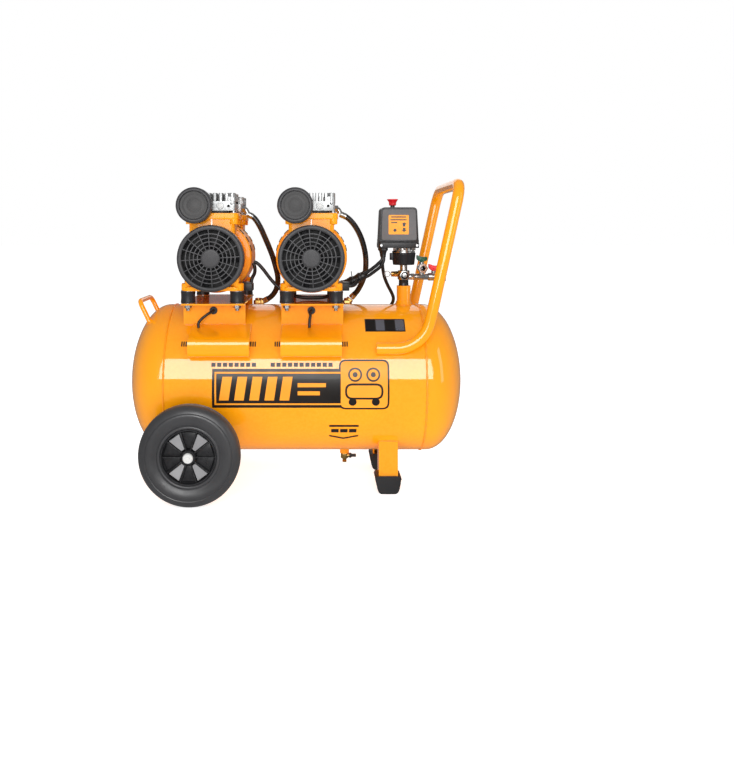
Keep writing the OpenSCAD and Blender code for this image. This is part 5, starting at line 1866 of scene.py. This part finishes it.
    def drain(self) -> None:
        """Makes the drain valve and its small lever."""
        draft = Draft()
        at = self.drain_at
        x, _, z = at
        draft.lathe([(2.5, 26), (6, 26), (6, 6), (2.5, 6)], at, Axis.Z, "brass", 32)
        draft.hexagon(14, 12, (x, 0, z - 6), Axis.Z, "brass")
        draft.lathe([(2.5, -5), (4.6, -5), (4.6, -7.4), (4, -7.8), (4.6, -8.4), (4, -9.2), (4.6, -10), (4, -10.8),
                     (4.6, -11.6), (4.3, -14), (2.5, -14)], at, Axis.Z, "brass", 28)
        draft.lathe([(2.6, 5), (4.5, 5), (4.5, 10), (2.6, 10)], at, Axis.X, "brass", 24)
        draft.piece("drain_body", "brass", ["drain_valve"], crease=40)
        lever = Draft()
        lever.lathe([(0, 3), (2.5, 3), (2.5, 12), (0, 12)], at, Axis.X, "nickel_fittings", 20)
        lever.lathe([(0, 10.3), (5, 10.3), (5.5, 11), (5.5, 14.4), (4.8, 15), (0, 15)], at, Axis.X,
                    "black_plastic", 28)
        bar = rounded_outline(rectangle(-5.4, 5.4, -2.5, 2.5), 1.6, 4)
        lever.prism(bar, 12, (x + 13, 0, z), Axis.X, "black_plastic", 0.8, 2)
        lever.piece("drain_tee", "black_plastic", ["drain_lever"], "drain_tap", crease=40)


class FrameLooks:
    """Finishes of the CAD nodes that stay in view."""

    NODES = {
        "orange_paint": ("tank_shell", "tank_heads", "tank_sockets", "saddle_plates", "capacitor_covers",
                         "axle_brackets", "legs", "main_handle", "carry_handle"),
        "pump_paint": ("motor_housing_1", "motor_housing_2", "crankcases"),
        "capacitor_case": ("capacitors",),
        "mount_rubber": ("rubber_mounts",),
        "zinc_steel": ("mount_bolts", "wheel_bolts", "safety_ring"),
        "white_cap": ("axle_caps",),
        "tyre_rubber": ("front_tyre", "rear_tyre"),
        "hub_plastic": ("front_hub", "rear_hub"),
        "foot_rubber": ("rubber_feet",),
        "dark_pipe": ("post_pipe",),
        "nickel_fittings": ("manifold",),
        "black_plastic": ("switch_base", "cable_glands", "drain_lever", "fans_1", "fans_2", "terminal_boxes"),
        "grey_plastic": ("switch_cover",),
        "diaphragm_metal": ("switch_diaphragm",),
        "red_plastic": ("switch_knob", "red_lever"),
        "green_plastic": ("green_lever",),
        "brass": ("safety_valve", "outlet_valves", "drain_valve", "check_valves"),
        "cable_jacket": ("motor_leads", "mains_lead", "mains_coil", "mains_plug"),
        "lamination_steel": ("stator_cores",),
        "copper_wire": ("windings",),
        "bearing_steel": ("bearings", "rotor_1", "rotor_2"),
        "cast_aluminium": ("piston_front_1", "piston_rear_1", "piston_front_2", "piston_rear_2", "cylinder_heads",
                           "crossover_tubes", "cylinder_sleeves"),
        "gasket_black": ("valve_plates",),
        "guard_plastic": ("air_filters", "fan_guards"),
        "hose_rubber": ("delivery_hoses",),
    }

    def build(self) -> None:
        """Gives each node its finish."""
        for finish, names in self.NODES.items():
            for name in names:
                node = frame["nodes"][name]
                if not node.material_slots:
                    node.data.materials.append(FINISHES[finish])
                for slot in node.material_slots:
                    slot.material = FINISHES[finish]


@dataclass(frozen=True)
class Compressor:
    """The whole machine.

    Args:
        pumps: Both pumps, each with the way of its own hose.
    """

    pumps: tuple[Pump, Pump] = (
        Pump(0, ((62, 0, 196), (76, 1, 188), (88, 3, 170), (98, 7, 148), (107, 13, 126), (115, 21, 104),
                 (121, 30, 82),
                 (125, 40, 62), (125, 51, 44), (120, 61, 26), (111, 69, 13), (100, 74, 5), (92, 75, 1)), 18.0),
        Pump(1, ((62, 0, 196), (77, 1, 189), (91, 3, 175), (103, 7, 156), (112, 13, 134), (118, 21, 110),
                 (120, 31, 88),
                 (119, 43, 66), (113, 55, 45), (104, 66, 26), (96, 73.5, 15.5), (89, 75, 7.9)), 50.0),
    )

    def assemblies(self) -> list[MainsLead | FrameLooks | Tank | Wheel | Pump | Wiring | Controls]:
        """Returns every sub-assembly in the order in which it is built, the lead first."""
        return [MainsLead(), FrameLooks(), Tank(), Wheel(False), Wheel(True), *self.pumps, Wiring(), Controls()]


def main() -> None:
    """Builds the classes in order, reports each piece and hands the scene over."""
    logging.basicConfig(level=logging.INFO, format="%(message)s")
    Studio().build()
    for assembly in Compressor().assemblies():
        before = set(bpy.data.objects.keys())
        assembly.build()
        for name in sorted(set(bpy.data.objects.keys()) - before):
            log.info("%s: %s", type(assembly).__name__, name)


if __name__ == "__main__":
    main()
